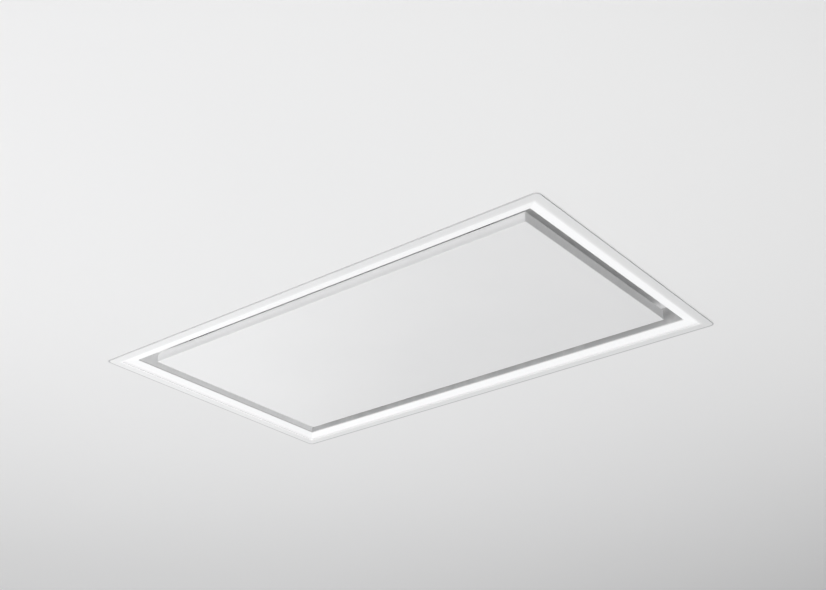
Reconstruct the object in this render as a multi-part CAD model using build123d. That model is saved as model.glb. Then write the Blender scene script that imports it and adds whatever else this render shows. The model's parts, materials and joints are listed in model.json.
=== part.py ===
"""Ceiling range hood, flush in a suspended ceiling, with a lit rim and a drop-down suction panel.

Millimetres. The origin is the centre of the hood on the underside of the ceiling,
+X runs along the long side, +Y towards the hinged side, +Z up into the ceiling void.
"""
from math import cos, radians, sin
import os

from build123d import *

# ---------------------------------------------------------------- driving dimensions

# What shows below the ceiling
hood_length = 1200.0
hood_width = 700.0
rim_thickness = 2.0
rim_border = 22.0
rim_corner_radius = 10.0
rim_lip_height = 24.0
diffuser_run = 26.2
diffuser_rise = 5.2
diffuser_edge_height = 0.5
diffuser_thickness = 2.5
diffuser_leg_height = 14.0
diffuser_leg_thickness = 1.8
slot_width = 31.3

# Sheet metal and general clearances
sheet = 1.2
seat_gap = 0.3
sliding_gap = 0.3
pin_clearance = 0.05
mitre_gap = 0.1

# Light
light_tray_lip = 8.0
led_board_width = 12.0
led_board_thickness = 1.6
led_board_end_gap = 18.0
led_chip_size = 3.0
led_chip_height = 0.8
led_chip_pitch = 30.0

# Suction panel
panel_recess = 3.5
panel_depth = 22.0
panel_sheet = 1.0
panel_return = 14.0
panel_corner_radius = 3.0
panel_edge_radius = 0.8
liner_thickness = 0.8
liner_edge = 3.0
liner_field_border = 60.0
liner_field_rise = 4.0

# Hinges and catches of the panel
hinge_end_inset = 120.5
hinge_inset = 9.5
hinge_height = 36.0
hinge_pin_radius = 2.5
hinge_eye_radius = 6.0
hinge_lug_width = 20.0
hinge_ear_thickness = 3.0
hinge_base_thickness = 2.0
hinge_base_width = 50.0
hinge_base_depth = 24.0
hinge_leaf_width = 46.0
hinge_leaf_length = 36.0
hinge_leaf_overhang = 4.0
hinge_pin_head = 1.5
hinge_pin_head_radius = 4.0
catch_end_inset = 120.5
catch_length = 44.0
catch_width = 16.0
catch_flange_length = 64.0
strike_length = 52.0
strike_width = 20.0
strike_thickness = 1.5
strike_corner_radius = 3.0

# Filters and their frame
filter_plate_height = 48.0
throat_end_margin = 51.8
throat_side_margin = 62.8
filter_count = 4
filter_bar = 20.0
filter_frame_flange = 18.0
filter_gap = 1.0
filter_thickness = 10.0
filter_drop = 2.0
filter_border = 12.0
filter_groove_depth = 6.0
filter_groove_height = 6.0
filter_pleats = 9
filter_pleat_sheet = 3.0
filter_tongue_width = 20.0
filter_tongue_reach = 7.0
filter_tongue_thickness = 2.0
filter_tongue_offset = 70.0
latch_travel = 6.0
latch_reach = 6.0
latch_width = 24.0
latch_thickness = 3.0
latch_length = 38.0
latch_tab_width = 18.0
latch_tab_length = 6.0
latch_tab_drop = 4.0
latch_case_wall = 6.0

# Housing
slot_wall_height = 70.0
plenum_foot = 34.0
plenum_height = 110.0
plenum_flange = 12.0
motor_box_length = 720.0
motor_box_width = 570.0
housing_height = 290.0
lid_overlap = 8.0
lid_bead_end_gap = 70.0
lid_bead_width = 24.0
lid_bead_height = 2.0
lid_bead_inset = 180.0

# Blower
wheel_radius = 100.0
wheel_inner_radius = 83.0
wheel_height = 74.0
blade_count = 38
blade_thickness_angle = 0.7
blade_lead_angle = 9.0
blade_bulge = 3.2
wheel_disc = 1.6
wheel_ring_height = 4.0
wheel_nose_radius = 46.0
wheel_cup_radius = 66.0
wheel_nose_drop = 52.0
wheel_gap = 12.0
scroll_height = 108.0
scroll_throat_gap = 9.0
scroll_step = 24.0
scroll_outlet_reach = 172.0
scroll_tongue_angle = 45.0
blower_x = 60.0
blower_rim = 6.0
rubber_height = 15.0
rubber_radius = 11.0
rubber_hole_radius = 3.2
rubber_circle_inset = 5.26
rubber_waist_depth = 3.0
rubber_waist_offset = 1.0
inlet_radius = 80.0
inlet_lip_radius = 8.0
motor_radius = 42.0
motor_height = 46.0
motor_flange_radius = 62.0
motor_flange_thickness = 3.0
shaft_radius = 4.0
shaft_nut_radius = 9.0
shaft_nut_height = 6.0
shaft_end_reach = 4.0

# Duct spigot and its back-draught flaps
spigot_radius = 75.0
spigot_wall = 1.0
adapter_corner = 4.0
spigot_length = 60.0
spigot_flange_length = 178.0
spigot_flange_height = 162.0
spigot_lid_gap = 2.0
spigot_flange_thickness = 1.5
spigot_flange_corner = 8.0
flap_setback = 16.0
flap_thickness = 0.8
flap_gap = 1.0
flap_axle_radius = 2.0
flap_knuckle_radius = 3.6
flap_knuckle_gap = 0.5
flap_end_margin = 10.22
flap_knuckle_count = 4

# Electrical compartment
box_length = 210.0
box_width = 150.0
box_height = 52.0
box_y = 120.0
cover_fold = 6.0
board_length = 120.0
board_width = 100.0
board_thickness = 1.6
board_standoff = 6.0
board_foot_radius = 3.0
board_foot_inset = 6.0
board_end_gap = 12.0
transformer_size = 30.0
transformer_height = 22.0
relay_length = 16.0
relay_width = 14.0
relay_height = 15.0
relay_pitch = 20.0
relay_count = 3
capacitor_radius = 7.0
capacitor_height = 18.0
supply_length = 128.0
supply_width = 30.0
supply_height = 24.0
supply_chamfer = 2.0
supply_gap = 12.0
terminal_count = 5
terminal_pitch = 9.0
terminal_width = 20.0
terminal_height = 14.0
terminal_well_radius = 2.6
terminal_well_depth = 6.0
terminal_gap = 15.0
gland_hole_radius = 8.0
gland_bore_radius = 4.5
gland_nut_radius = 12.0
gland_nut_height = 6.0
gland_dome_radius = 9.6
gland_outside = 15.6
gland_inside = 10.4
gland_drop = 36.0

# Hanging rails and screws
rail_end_inset = 89.5
rail_width = 40.0
rail_height = 22.0
rail_thickness = 2.0
rail_overhang = 21.5
rail_notch_length = 220.0
rail_notch_height = 6.0
rod_slot_width = 9.0
rod_slot_length = 22.0
rod_slot_end = 11.0
screw_radius = 2.0
screw_head_radius = 4.0
screw_head_height = 2.4
screw_length = 8.0
screw_height = 59.0
long_side_screw_count = 4
short_side_screw_count = 2
screw_end_inset = 90.0

# ---------------------------------------------------------------- shared places

half_x = hood_length / 2
half_y = hood_width / 2
rim_in_x = half_x - rim_border
rim_in_y = half_y - rim_border
slot_x = rim_in_x - diffuser_run
slot_y = rim_in_y - diffuser_run
panel_x = slot_x - slot_width
panel_y = slot_y - slot_width
panel_top = panel_recess + panel_depth
liner_top = panel_top + liner_thickness
tray_top = rim_lip_height
hinge_x = panel_x - hinge_end_inset
hinge_y = panel_y - hinge_inset
catch_x = panel_x - catch_end_inset
throat_length = 2 * (slot_x - throat_end_margin)
throat_width = 2 * (slot_y - throat_side_margin)
catch_y = -(throat_width / 2 + panel_y) / 2
plate_top = filter_plate_height + sheet
window_width = (throat_length - (filter_count - 1) * filter_bar) / filter_count
filter_width = window_width - 2 * filter_gap
filter_length = throat_width - 2 * filter_gap
filter_bottom = filter_plate_height - filter_drop
filter_top = filter_bottom + filter_thickness
plenum_in_x = slot_x + sheet + seat_gap
plenum_in_y = slot_y + sheet + seat_gap
rail_x = plenum_in_x + sheet - rail_end_inset
rail_end = plenum_in_y + sheet + rail_overhang
box_x = motor_box_length / 2
box_half_y = motor_box_width / 2
blower_top = housing_height - rubber_height
scroll_top = blower_top - sheet
scroll_bottom = scroll_top - scroll_height
wheel_top = scroll_top - wheel_gap
wheel_bottom = wheel_top - wheel_height
tongue_radius = wheel_radius + scroll_throat_gap
tongue_x = scroll_step / 2 + tongue_radius * cos(radians(scroll_tongue_angle))
tongue_y = scroll_step / 2 - tongue_radius * sin(radians(scroll_tongue_angle))
scroll_floor = -scroll_step / 2 - (tongue_radius + 3 * scroll_step)
blower_y = -(tongue_y + scroll_floor) / 2
scroll_outlet_x = blower_x + scroll_outlet_reach
spigot_x = box_x + sheet
spigot_height = housing_height - lid_overlap - spigot_lid_gap - spigot_flange_height / 2
flap_x = spigot_x + spigot_flange_thickness + flap_setback

SIDES = {
    "right": (0, half_x, half_y),
    "back": (90, half_y, half_x),
    "left": (180, half_x, half_y),
    "front": (270, half_y, half_x),
}


# ---------------------------------------------------------------- helpers

def block(x0, x1, y0, y1, z0, z1):
    """A box given by its two corners."""
    centre = ((x0 + x1) / 2, (y0 + y1) / 2, (z0 + z1) / 2)
    return Pos(*centre) * Box(abs(x1 - x0), abs(y1 - y0), abs(z1 - z0))


def slab(hx, hy, z0, z1):
    """A centred plate."""
    return block(-hx, hx, -hy, hy, z0, z1)


def ring(hx, hy, wall, z0, z1):
    """A rectangular ring wall, measured inwards from its outer half sizes."""
    return slab(hx, hy, z0, z1) - slab(hx - wall, hy - wall, z0, z1)


def rod(x, y, z0, z1, radius):
    """An upright cylinder."""
    return Pos(x, y, (z0 + z1) / 2) * Cylinder(radius, abs(z1 - z0))


def cross_rod(x0, x1, y, z, radius):
    """A cylinder lying along X."""
    return Pos((x0 + x1) / 2, y, z) * Rot(0, 90, 0) * Cylinder(radius, abs(x1 - x0))


def lift(face, height):
    """A flat outline raised by a height."""
    return extrude(face, amount=height, dir=(0, 0, 1))


def upright_profile(points, y0, y1):
    """A profile drawn in X and Z, run along Y."""
    face = Plane.XZ * Polygon(*points, align=None)
    return Pos(0, y0, 0) * extrude(face, amount=y1 - y0, dir=(0, 1, 0))


def mitred_side(side, points):
    """A profile run along one side of the hood, cut at 45 degrees at both ends.

    The points are (distance from the hood's centre, height) on the side that faces +X.
    """
    angle, across, along = SIDES[side]
    bar = upright_profile(points, -along, along)
    reach = along - mitre_gap
    depth = rim_border + 2 * diffuser_run
    wedge = Polygon(
        (across, -reach),
        (across, reach),
        (across - depth, reach - depth),
        (across - depth, depth - reach),
        align=None,
    )
    cutter = Pos(0, 0, -rim_lip_height) * lift(wedge, 3 * rim_lip_height)
    return Rot(0, 0, angle) * (bar & cutter)


# ---------------------------------------------------------------- rim and light

def ceiling_rim():
    """White steel rim under the ceiling, folded up where the light sits."""
    plate = extrude(
        RectangleRounded(hood_length, hood_width, rim_corner_radius), amount=-rim_thickness
    )
    plate -= slab(rim_in_x, rim_in_y, -2 * rim_thickness, rim_thickness)
    lip = ring(rim_in_x + sheet, rim_in_y + sheet, sheet, -rim_thickness / 2, rim_lip_height)
    return plate + lip


def light_tray():
    """Folded channel above the diffusers, between the rim's lip and the slot wall."""
    outer_x = rim_in_x
    outer_y = rim_in_y
    inner_x = slot_x + sheet
    inner_y = slot_y + sheet
    web = ring(outer_x, outer_y, outer_x - inner_x, tray_top - sheet, tray_top)
    outer_lip = ring(outer_x, outer_y, sheet, tray_top - light_tray_lip, tray_top)
    inner_lip = ring(inner_x + sheet, inner_y + sheet, sheet, tray_top - light_tray_lip, tray_top)
    return web + outer_lip + inner_lip


def light_diffuser(side):
    """Opal strip that slopes up towards the slot, with two legs that hold it in the tray."""
    across = SIDES[side][1]
    outer = across - rim_border - seat_gap
    inner = across - rim_border - diffuser_run
    low = diffuser_edge_height
    high = diffuser_edge_height + diffuser_rise
    outer_leg = outer - sheet - seat_gap
    inner_leg = inner + 2 * sheet + 2 * seat_gap
    foot = low + diffuser_thickness / 2
    skin = [
        (outer, low),
        (inner, high),
        (inner, high + diffuser_thickness),
        (outer, low + diffuser_thickness),
    ]
    strip = mitred_side(side, skin)
    for edge, width in ((outer_leg, -diffuser_leg_thickness), (inner_leg, diffuser_leg_thickness)):
        rise = diffuser_rise * (outer - edge) / (outer - inner)
        leg = [
            (edge, foot + rise),
            (edge + width, foot + rise),
            (edge + width, foot + diffuser_leg_height),
            (edge, foot + diffuser_leg_height),
        ]
        strip += mitred_side(side, leg)
    return strip


def led_strip(side):
    """Circuit strip with its row of light-emitting chips, under the tray's web."""
    angle, across, along = SIDES[side]
    centre = across - rim_border - diffuser_run / 2
    reach = along - rim_border - diffuser_run - led_board_end_gap
    top = tray_top - sheet
    bottom = top - led_board_thickness
    board = block(
        centre - led_board_width / 2, centre + led_board_width / 2, -reach, reach, bottom, top
    )
    count = int(2 * (reach - led_chip_size) / led_chip_pitch) + 1
    half = led_chip_size / 2
    chips = []
    for index in range(count):
        y = (index - (count - 1) / 2) * led_chip_pitch
        chips.append(
            block(centre - half, centre + half, y - half, y + half, bottom - led_chip_height, bottom)
        )
    return Rot(0, 0, angle) * (board + chips)


# ---------------------------------------------------------------- housing

def screw_places():
    """Centre of each side screw on the slot wall, with the angle that it faces."""
    places = []
    for angle, across, along, count in (
        (0, slot_x, slot_y, short_side_screw_count),
        (90, slot_y, slot_x, long_side_screw_count),
        (180, slot_x, slot_y, short_side_screw_count),
        (270, slot_y, slot_x, long_side_screw_count),
    ):
        run = 2 * (along - screw_end_inset)
        for index in range(count):
            offset = -run / 2 + run * index / (count - 1)
            places.append(Rot(0, 0, angle) * Pos(across, offset, screw_height))
    return places


def screw_holes():
    """Clearance holes for the side screws."""
    hole = Rot(0, 90, 0) * Cylinder(screw_radius + pin_clearance, 6 * screw_length)
    return [place * hole for place in screw_places()]


def side_screws():
    """Pan-head screws that hold filter frame, slot wall and plenum together."""
    head = Pos(-sheet - screw_head_height / 2, 0, 0) * Rot(0, 90, 0) * Cylinder(
        screw_head_radius, screw_head_height
    )
    shank = Pos(-sheet + screw_length / 2, 0, 0) * Rot(0, 90, 0) * Cylinder(
        screw_radius, screw_length
    )
    return Compound([(place * (head + shank)).solid() for place in screw_places()])


def slot_wall():
    """Outer wall of the suction slot: it stands on the diffusers' inner edge."""
    foot = diffuser_edge_height + diffuser_rise + diffuser_thickness
    wall = ring(slot_x + sheet, slot_y + sheet, sheet, foot, slot_wall_height)
    return wall - screw_holes()


def plenum():
    """Lower housing welded from five sheets: a top plate holed for the motor box, and four walls."""
    outer_x = plenum_in_x + sheet
    outer_y = plenum_in_y + sheet
    under = plenum_height - sheet
    top = slab(outer_x, outer_y, under, plenum_height)
    top -= slab(box_x - sheet, box_half_y - sheet, plenum_foot, plenum_height)
    walls = [
        block(-outer_x, outer_x, plenum_in_y, outer_y, plenum_foot, under),
        block(-outer_x, outer_x, -outer_y, -plenum_in_y, plenum_foot, under),
        block(plenum_in_x, outer_x, -plenum_in_y, plenum_in_y, plenum_foot, under),
        block(-outer_x, -plenum_in_x, -plenum_in_y, plenum_in_y, plenum_foot, under),
    ]
    return Compound([top.solid()] + [(wall - screw_holes()).solid() for wall in walls])


def motor_box():
    """Upper housing: four walls with flanges at foot and top, holed for the duct and cable."""
    walls = ring(box_x, box_half_y, sheet, plenum_height, housing_height)
    foot = ring(
        box_x + plenum_flange,
        box_half_y + plenum_flange,
        plenum_flange + sheet,
        plenum_height,
        plenum_height + sheet,
    )
    top = ring(box_x, box_half_y, plenum_flange, housing_height - sheet, housing_height)
    duct = cross_rod(box_x - 2 * sheet, box_x + 2 * sheet, 0, spigot_height, spigot_radius)
    cable = cross_rod(
        -box_x - 2 * sheet, -box_x + 2 * sheet, box_y, gland_height(), gland_hole_radius
    )
    return walls + foot + top - duct - cable


def housing_lid():
    """Top plate of the motor box, with a down-turned edge and two stiffening beads."""
    outer_x = box_x + seat_gap + sheet
    outer_y = box_half_y + seat_gap + sheet
    lid = slab(outer_x, outer_y, housing_height, housing_height + sheet)
    lid += ring(outer_x, outer_y, sheet, housing_height - lid_overlap, housing_height)
    for side in (-1, 1):
        bead = Pos(side * (box_x - lid_bead_inset), 0, housing_height + sheet) * SlotOverall(
            motor_box_width - 2 * lid_bead_end_gap, lid_bead_width, rotation=90
        )
        lid += extrude(bead, amount=lid_bead_height, taper=30)
    return lid


def hanging_rail(side):
    """U-shaped steel rail on the plenum, slotted at both ends for threaded rods, low under the duct."""
    x = side * rail_x
    half = rail_width / 2
    end = rail_end
    top = plenum_height + rail_thickness
    rail = block(x - half, x + half, -end, end, plenum_height, top)
    for edge in (x - half, x + half - rail_thickness):
        rail += block(edge, edge + rail_thickness, -end, end, plenum_height, plenum_height + rail_height)
    notch = rail_notch_length / 2
    rail -= block(
        x - rail_width, x + rail_width, -notch, notch,
        plenum_height + rail_notch_height, plenum_height + 2 * rail_height,
    )
    slot = SlotOverall(rod_slot_length, rod_slot_width)
    for y in (-end + rod_slot_end, end - rod_slot_end):
        rail -= Pos(x, y, plenum_height - sheet) * lift(slot, rail_thickness + 2 * sheet)
    return rail


# ---------------------------------------------------------------- filters

def window_centre(index):
    """Centre, along X, of one filter's window."""
    pitch = window_width + filter_bar
    return (index - (filter_count - 1) / 2) * pitch


def filter_frame():
    """Plate between slot wall and throat that carries the filters, hinges and catches."""
    plate = slab(slot_x, slot_y, filter_plate_height, plate_top)
    flange = ring(slot_x, slot_y, sheet, plate_top, filter_plate_height + filter_frame_flange)
    frame = plate + flange
    for index in range(filter_count):
        x = window_centre(index)
        frame -= block(
            x - window_width / 2,
            x + window_width / 2,
            -throat_width / 2,
            throat_width / 2,
            filter_plate_height - sheet,
            plate_top + sheet,
        )
    return frame - screw_holes()


def filter_rim(index):
    """Aluminium channel round one filter, with its rear tongues and the latch's case."""
    half_w = filter_width / 2
    half_l = filter_length / 2
    rim = slab(half_w, half_l, filter_bottom, filter_top)
    rim -= slab(half_w - filter_border, half_l - filter_border, filter_bottom, filter_top)
    mid = (filter_bottom + filter_top) / 2
    groove = filter_border - filter_groove_depth
    rim -= slab(
        half_w - groove, half_l - groove, mid - filter_groove_height / 2, mid + filter_groove_height / 2
    )
    for x in (-filter_tongue_offset, filter_tongue_offset):
        rim += block(
            x - filter_tongue_width / 2,
            x + filter_tongue_width / 2,
            half_l - groove,
            half_l + filter_tongue_reach,
            plate_top,
            plate_top + filter_tongue_thickness,
        )
    case_x = latch_width / 2 + latch_case_wall
    case_back = latch_back() + latch_travel + latch_case_wall
    rim += block(-case_x, case_x, -half_l, case_back, filter_bottom, filter_top)
    rim -= block(
        -latch_width / 2 - sliding_gap,
        latch_width / 2 + sliding_gap,
        -half_l,
        latch_back() + latch_travel + sliding_gap,
        plate_top,
        plate_top + latch_thickness + 2 * sliding_gap,
    )
    rim -= block(
        -latch_tab_width / 2 - sliding_gap,
        latch_tab_width / 2 + sliding_gap,
        latch_tab_front() - sliding_gap,
        latch_tab_front() + latch_tab_length + latch_travel + sliding_gap,
        filter_bottom,
        plate_top,
    )
    return Pos(window_centre(index), 0, 0) * rim


def filter_mesh(index):
    """Pleated metal mesh held in the groove of one filter's rim, cut out for the latch."""
    groove = filter_border - filter_groove_depth
    half_w = filter_width / 2 - groove - sliding_gap
    half_l = filter_length / 2 - groove - sliding_gap
    mid = (filter_bottom + filter_top) / 2
    swing = (filter_groove_height - filter_pleat_sheet) / 2 - sliding_gap
    upper = []
    steps = 2 * filter_pleats
    for step in range(steps + 1):
        x = -half_w + 2 * half_w * step / steps
        offset = swing if step % 2 else -swing
        upper.append((x, mid + filter_pleat_sheet / 2 + offset))
    lower = [(x, z - filter_pleat_sheet) for x, z in reversed(upper)]
    mesh = upright_profile(upper + lower, -half_l, half_l)
    case_x = latch_width / 2 + latch_case_wall + sliding_gap
    case_back = latch_back() + latch_travel + latch_case_wall + sliding_gap
    mesh -= block(-case_x, case_x, -filter_length, case_back, filter_bottom, filter_top)
    return Pos(window_centre(index), 0, 0) * mesh


def latch_back():
    """Rear end of the latch bolt at rest, along Y."""
    return -filter_length / 2 - latch_reach + latch_length


def latch_tab_front():
    """Front of the thumb tab at rest, along Y."""
    return latch_back() - latch_tab_length - latch_case_wall


def filter_latch(index):
    """Sliding bolt with its thumb tab: it slides towards +Y to free the filter's front edge."""
    low = plate_top + sliding_gap
    bolt = block(
        -latch_width / 2,
        latch_width / 2,
        -filter_length / 2 - latch_reach,
        latch_back(),
        low,
        low + latch_thickness,
    )
    tab = block(
        -latch_tab_width / 2,
        latch_tab_width / 2,
        latch_tab_front(),
        latch_tab_front() + latch_tab_length,
        filter_bottom - latch_tab_drop,
        low,
    )
    return Pos(window_centre(index), 0, 0) * (bolt + tab)


# ---------------------------------------------------------------- suction panel

def panel_skin():
    """White folded steel tray that closes the hood, open on top inside its return edge."""
    tray = Pos(0, 0, panel_recess) * extrude(
        RectangleRounded(2 * panel_x, 2 * panel_y, panel_corner_radius), amount=panel_depth
    )
    rim = tray.faces().sort_by(Axis.Z)[0].edges()
    tray = fillet(rim, min(panel_edge_radius, 0.8 * panel_sheet))
    tray -= slab(
        panel_x - panel_sheet, panel_y - panel_sheet, panel_recess + panel_sheet, panel_top - panel_sheet
    )
    mouth_x = panel_x - panel_return
    mouth_y = panel_y - panel_return
    return tray - slab(mouth_x, mouth_y, panel_recess + panel_sheet, panel_top)


def panel_liner():
    """Steel sheet that closes the tray, with a raised middle field that stiffens it."""
    hx = panel_x - liner_edge
    hy = panel_y - liner_edge
    field = Rectangle(2 * (hx - liner_field_border), 2 * (hy - liner_field_border))
    raised = extrude(Pos(0, 0, panel_top) * field, amount=liner_field_rise, taper=45)
    sheet_body = slab(hx, hy, panel_top, liner_top) + Pos(0, 0, liner_thickness) * raised
    return sheet_body - raised


def hinge_eye(x0, x1, radius):
    """Round eye about the panel's hinge axis."""
    return cross_rod(x0, x1, hinge_y, hinge_height, radius)


def hinge_bracket(side):
    """Fixed half of one hinge: base plate under the filter frame and two ears."""
    x = side * hinge_x
    inner = hinge_lug_width / 2 + sliding_gap
    base_bottom = filter_plate_height - hinge_base_thickness
    bracket = block(
        x - hinge_base_width / 2,
        x + hinge_base_width / 2,
        hinge_y - hinge_base_depth / 2,
        hinge_y + hinge_base_depth / 2,
        base_bottom,
        filter_plate_height,
    )
    for start in (x - inner - hinge_ear_thickness, x + inner):
        end = start + hinge_ear_thickness
        bracket += block(
            start, end, hinge_y - hinge_eye_radius, hinge_y + hinge_eye_radius, hinge_height, base_bottom
        )
        bracket += hinge_eye(start, end, hinge_eye_radius)
    reach = inner + 2 * hinge_ear_thickness
    return bracket - hinge_eye(x - reach, x + reach, hinge_pin_radius + pin_clearance)


def hinge_arm(side):
    """Moving half of one hinge: leaf on the panel's liner and the lug round the pin."""
    x = side * hinge_x
    half = hinge_lug_width / 2
    leaf_top = liner_top + hinge_base_thickness
    arm = block(
        x - hinge_leaf_width / 2,
        x + hinge_leaf_width / 2,
        hinge_y + hinge_leaf_overhang - hinge_leaf_length,
        hinge_y + hinge_leaf_overhang,
        liner_top,
        leaf_top,
    )
    arm += block(
        x - half,
        x + half,
        hinge_y - hinge_eye_radius,
        hinge_y + hinge_leaf_overhang,
        liner_top,
        hinge_height,
    )
    arm += hinge_eye(x - half, x + half, hinge_eye_radius)
    return arm - hinge_eye(x - hinge_lug_width, x + hinge_lug_width, hinge_pin_radius + pin_clearance)


def hinge_pin(side):
    """Steel pin of one hinge with a flat head at both ends."""
    x = side * hinge_x
    reach = hinge_lug_width / 2 + sliding_gap + hinge_ear_thickness + pin_clearance
    pin = hinge_eye(x - reach, x + reach, hinge_pin_radius)
    for end in (-1, 1):
        pin += hinge_eye(x + end * reach, x + end * (reach + hinge_pin_head), hinge_pin_head_radius)
    return pin


def catch_magnet(side):
    """Moulded holder with a magnet in its foot, under the filter frame's front edge."""
    x = side * catch_x
    y = catch_y
    foot = liner_top + strike_thickness + seat_gap
    half_l = catch_length / 2
    half_w = catch_width / 2
    top = filter_plate_height
    holder = block(x - half_l, x + half_l, y - half_w, y + half_w, foot, top)
    flange_low = top - 2 * hinge_base_thickness
    holder += block(
        x - catch_flange_length / 2, x + catch_flange_length / 2, y - half_w, y + half_w, flange_low, top
    )
    groove = block(
        x - half_l / 2, x + half_l / 2, y - half_w, y + half_w, foot + half_w, flange_low - half_w / 2
    )
    return holder - groove


def strike_plate(side):
    """Steel plate on the panel's liner that the magnet holds."""
    x = side * catch_x
    y = catch_y
    plate = RectangleRounded(strike_length, strike_width, strike_corner_radius)
    return Pos(x, y, liner_top) * lift(plate, strike_thickness)


# ---------------------------------------------------------------- blower

def at_blower(shape):
    """Move a shape drawn about the wheel's axis to the blower's place."""
    return Pos(blower_x, blower_y, 0) * shape


def scroll_face(grow):
    """Air passage of the scroll seen from above, grown outwards by a wall.

    Three quarter arcs and a part arc, struck from the corners of a square of side
    scroll_step, widen the passage by one step for each quarter turn.
    """
    half = scroll_step / 2
    base = tongue_radius + grow
    throat = CenterArc((half, half), base, -scroll_tongue_angle, scroll_tongue_angle)
    right = CenterArc((-half, half), base + scroll_step, 0, 90)
    top = CenterArc((-half, -half), base + 2 * scroll_step, 90, 90)
    left = CenterArc((half, -half), base + 3 * scroll_step, 180, 90)
    closing = Polyline(left @ 1, (0, 0), throat @ 0)
    spiral = make_face(throat + right + top + left + closing)
    outlet = Polygon(
        (0, 0),
        (0, scroll_floor - grow),
        (scroll_outlet_reach, scroll_floor - grow),
        (scroll_outlet_reach, tongue_y + grow),
        (tongue_x, tongue_y + grow),
        align=None,
    )
    return spiral + outlet


def blower_scroll():
    """Spiral wrapper of the blower, open towards the duct."""
    band = scroll_face(sheet) - scroll_face(0)
    wrapper = Pos(0, 0, scroll_bottom) * lift(band, scroll_height)
    return at_blower(wrapper)


def inlet_plate():
    """Lower side plate of the blower with its rolled inlet mouth."""
    plate = Pos(0, 0, scroll_bottom - sheet) * lift(scroll_face(blower_rim), sheet)
    plate -= rod(0, 0, scroll_bottom - 2 * sheet, scroll_bottom + sheet, inlet_radius + inlet_lip_radius)
    lip_centre = (inlet_radius + inlet_lip_radius, scroll_bottom - sheet + inlet_lip_radius)
    outer_arc = CenterArc(lip_centre, inlet_lip_radius, 180, 90)
    inner_arc = CenterArc(lip_centre, inlet_lip_radius - sheet, 180, 90)
    lip_face = make_face(
        outer_arc + inner_arc + Line(outer_arc @ 0, inner_arc @ 0) + Line(outer_arc @ 1, inner_arc @ 1)
    )
    lip = revolve(Plane.XZ * lip_face, Axis.Z)
    return at_blower(plate + lip)


def motor_plate():
    """Upper side plate of the blower, which carries the motor."""
    plate = Pos(0, 0, scroll_top) * lift(scroll_face(blower_rim), sheet)
    for x, y in rubber_places():
        plate -= rod(x, y, scroll_top - sheet, blower_top + sheet, rubber_hole_radius)
    return at_blower(plate)


def rubber_places():
    """Four points over the scroll where the blower hangs, about the wheel's axis."""
    reach = tongue_radius - rubber_circle_inset
    turn = [45, 135, 200, 250]
    return [(reach * cos(radians(a)), reach * sin(radians(a))) for a in turn]


def rubber_mounts():
    """Rubber bushes between the blower's top plate and the lid."""
    bushes = []
    for x, y in rubber_places():
        bush = rod(x, y, blower_top, housing_height, rubber_radius)
        waist = Torus(rubber_radius + rubber_waist_offset, rubber_waist_depth)
        middle = (blower_top + housing_height) / 2
        bushes.append(at_blower(bush - Pos(x, y, middle) * waist).solid())
    return Compound(bushes)


def blade():
    """One forward-curved blade, its thickness turned about the wheel's axis."""
    def at(radius, angle):
        return (radius * cos(radians(angle)), radius * sin(radians(angle)))

    middle = (wheel_radius + wheel_inner_radius) / 2
    bow = blade_lead_angle / 2 - blade_bulge
    points = [(wheel_inner_radius, 0), (middle, bow), (wheel_radius, blade_lead_angle)]
    front = ThreePointArc(*[at(r, a) for r, a in points])
    rear = ThreePointArc(*[at(r, a + blade_thickness_angle) for r, a in points])
    face = make_face(front + rear + Line(front @ 0, rear @ 0) + Line(front @ 1, rear @ 1))
    foot = wheel_bottom + wheel_ring_height
    return Pos(0, 0, foot) * lift(face, wheel_top - wheel_disc - foot)


def blower_wheel():
    """Forward-curved wheel: blades clenched between an inlet ring and a disc drawn in over the motor."""
    nose_low = wheel_top - wheel_nose_drop
    profile = Polyline(
        (wheel_radius, wheel_top),
        (wheel_cup_radius, wheel_top),
        (wheel_nose_radius, nose_low + wheel_disc),
        (shaft_radius + pin_clearance, nose_low + wheel_disc),
        (shaft_radius + pin_clearance, nose_low - wheel_disc),
        (wheel_nose_radius, nose_low - wheel_disc),
        (wheel_cup_radius + wheel_disc, wheel_top - wheel_disc),
        (wheel_radius, wheel_top - wheel_disc),
        close=True,
    )
    disc = revolve(Plane.XZ * make_face(profile), Axis.Z)
    ring_body = rod(0, 0, wheel_bottom, wheel_bottom + wheel_ring_height, wheel_radius)
    ring_body -= rod(
        0, 0, wheel_bottom, wheel_bottom + wheel_ring_height, (wheel_radius + wheel_inner_radius) / 2
    )
    blades = [place * blade() for place in PolarLocations(0, blade_count)]
    return Compound([at_blower(piece).solid() for piece in [disc, ring_body] + blades])


def motor():
    """Electric motor that hangs from the blower's top plate into the wheel's cup."""
    top = scroll_top
    low = top - motor_height
    body = rod(0, 0, low, top, motor_radius)
    body = fillet(body.faces().sort_by(Axis.Z)[0].edges(), motor_radius / 7)
    flange = rod(0, 0, top - motor_flange_thickness, top, motor_flange_radius)
    for place in PolarLocations(motor_flange_radius, 3):
        flange -= place * rod(0, 0, top - 2 * motor_flange_thickness, top, motor_flange_radius / 3)
    bore = rod(0, 0, low - motor_flange_thickness, top, shaft_radius + pin_clearance)
    return at_blower(body + flange - bore)


def motor_shaft():
    """Shaft from the motor through the wheel's nose, with the nut that clamps the wheel."""
    nut_top = wheel_top - wheel_nose_drop - wheel_disc
    nut_foot = nut_top - shaft_nut_height
    shaft = rod(0, 0, nut_foot - shaft_end_reach, scroll_top - pin_clearance, shaft_radius)
    nut = Pos(0, 0, nut_foot) * extrude(
        RegularPolygon(shaft_nut_radius, 6), amount=shaft_nut_height
    )
    return at_blower(shaft + nut)


# ---------------------------------------------------------------- duct

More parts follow.
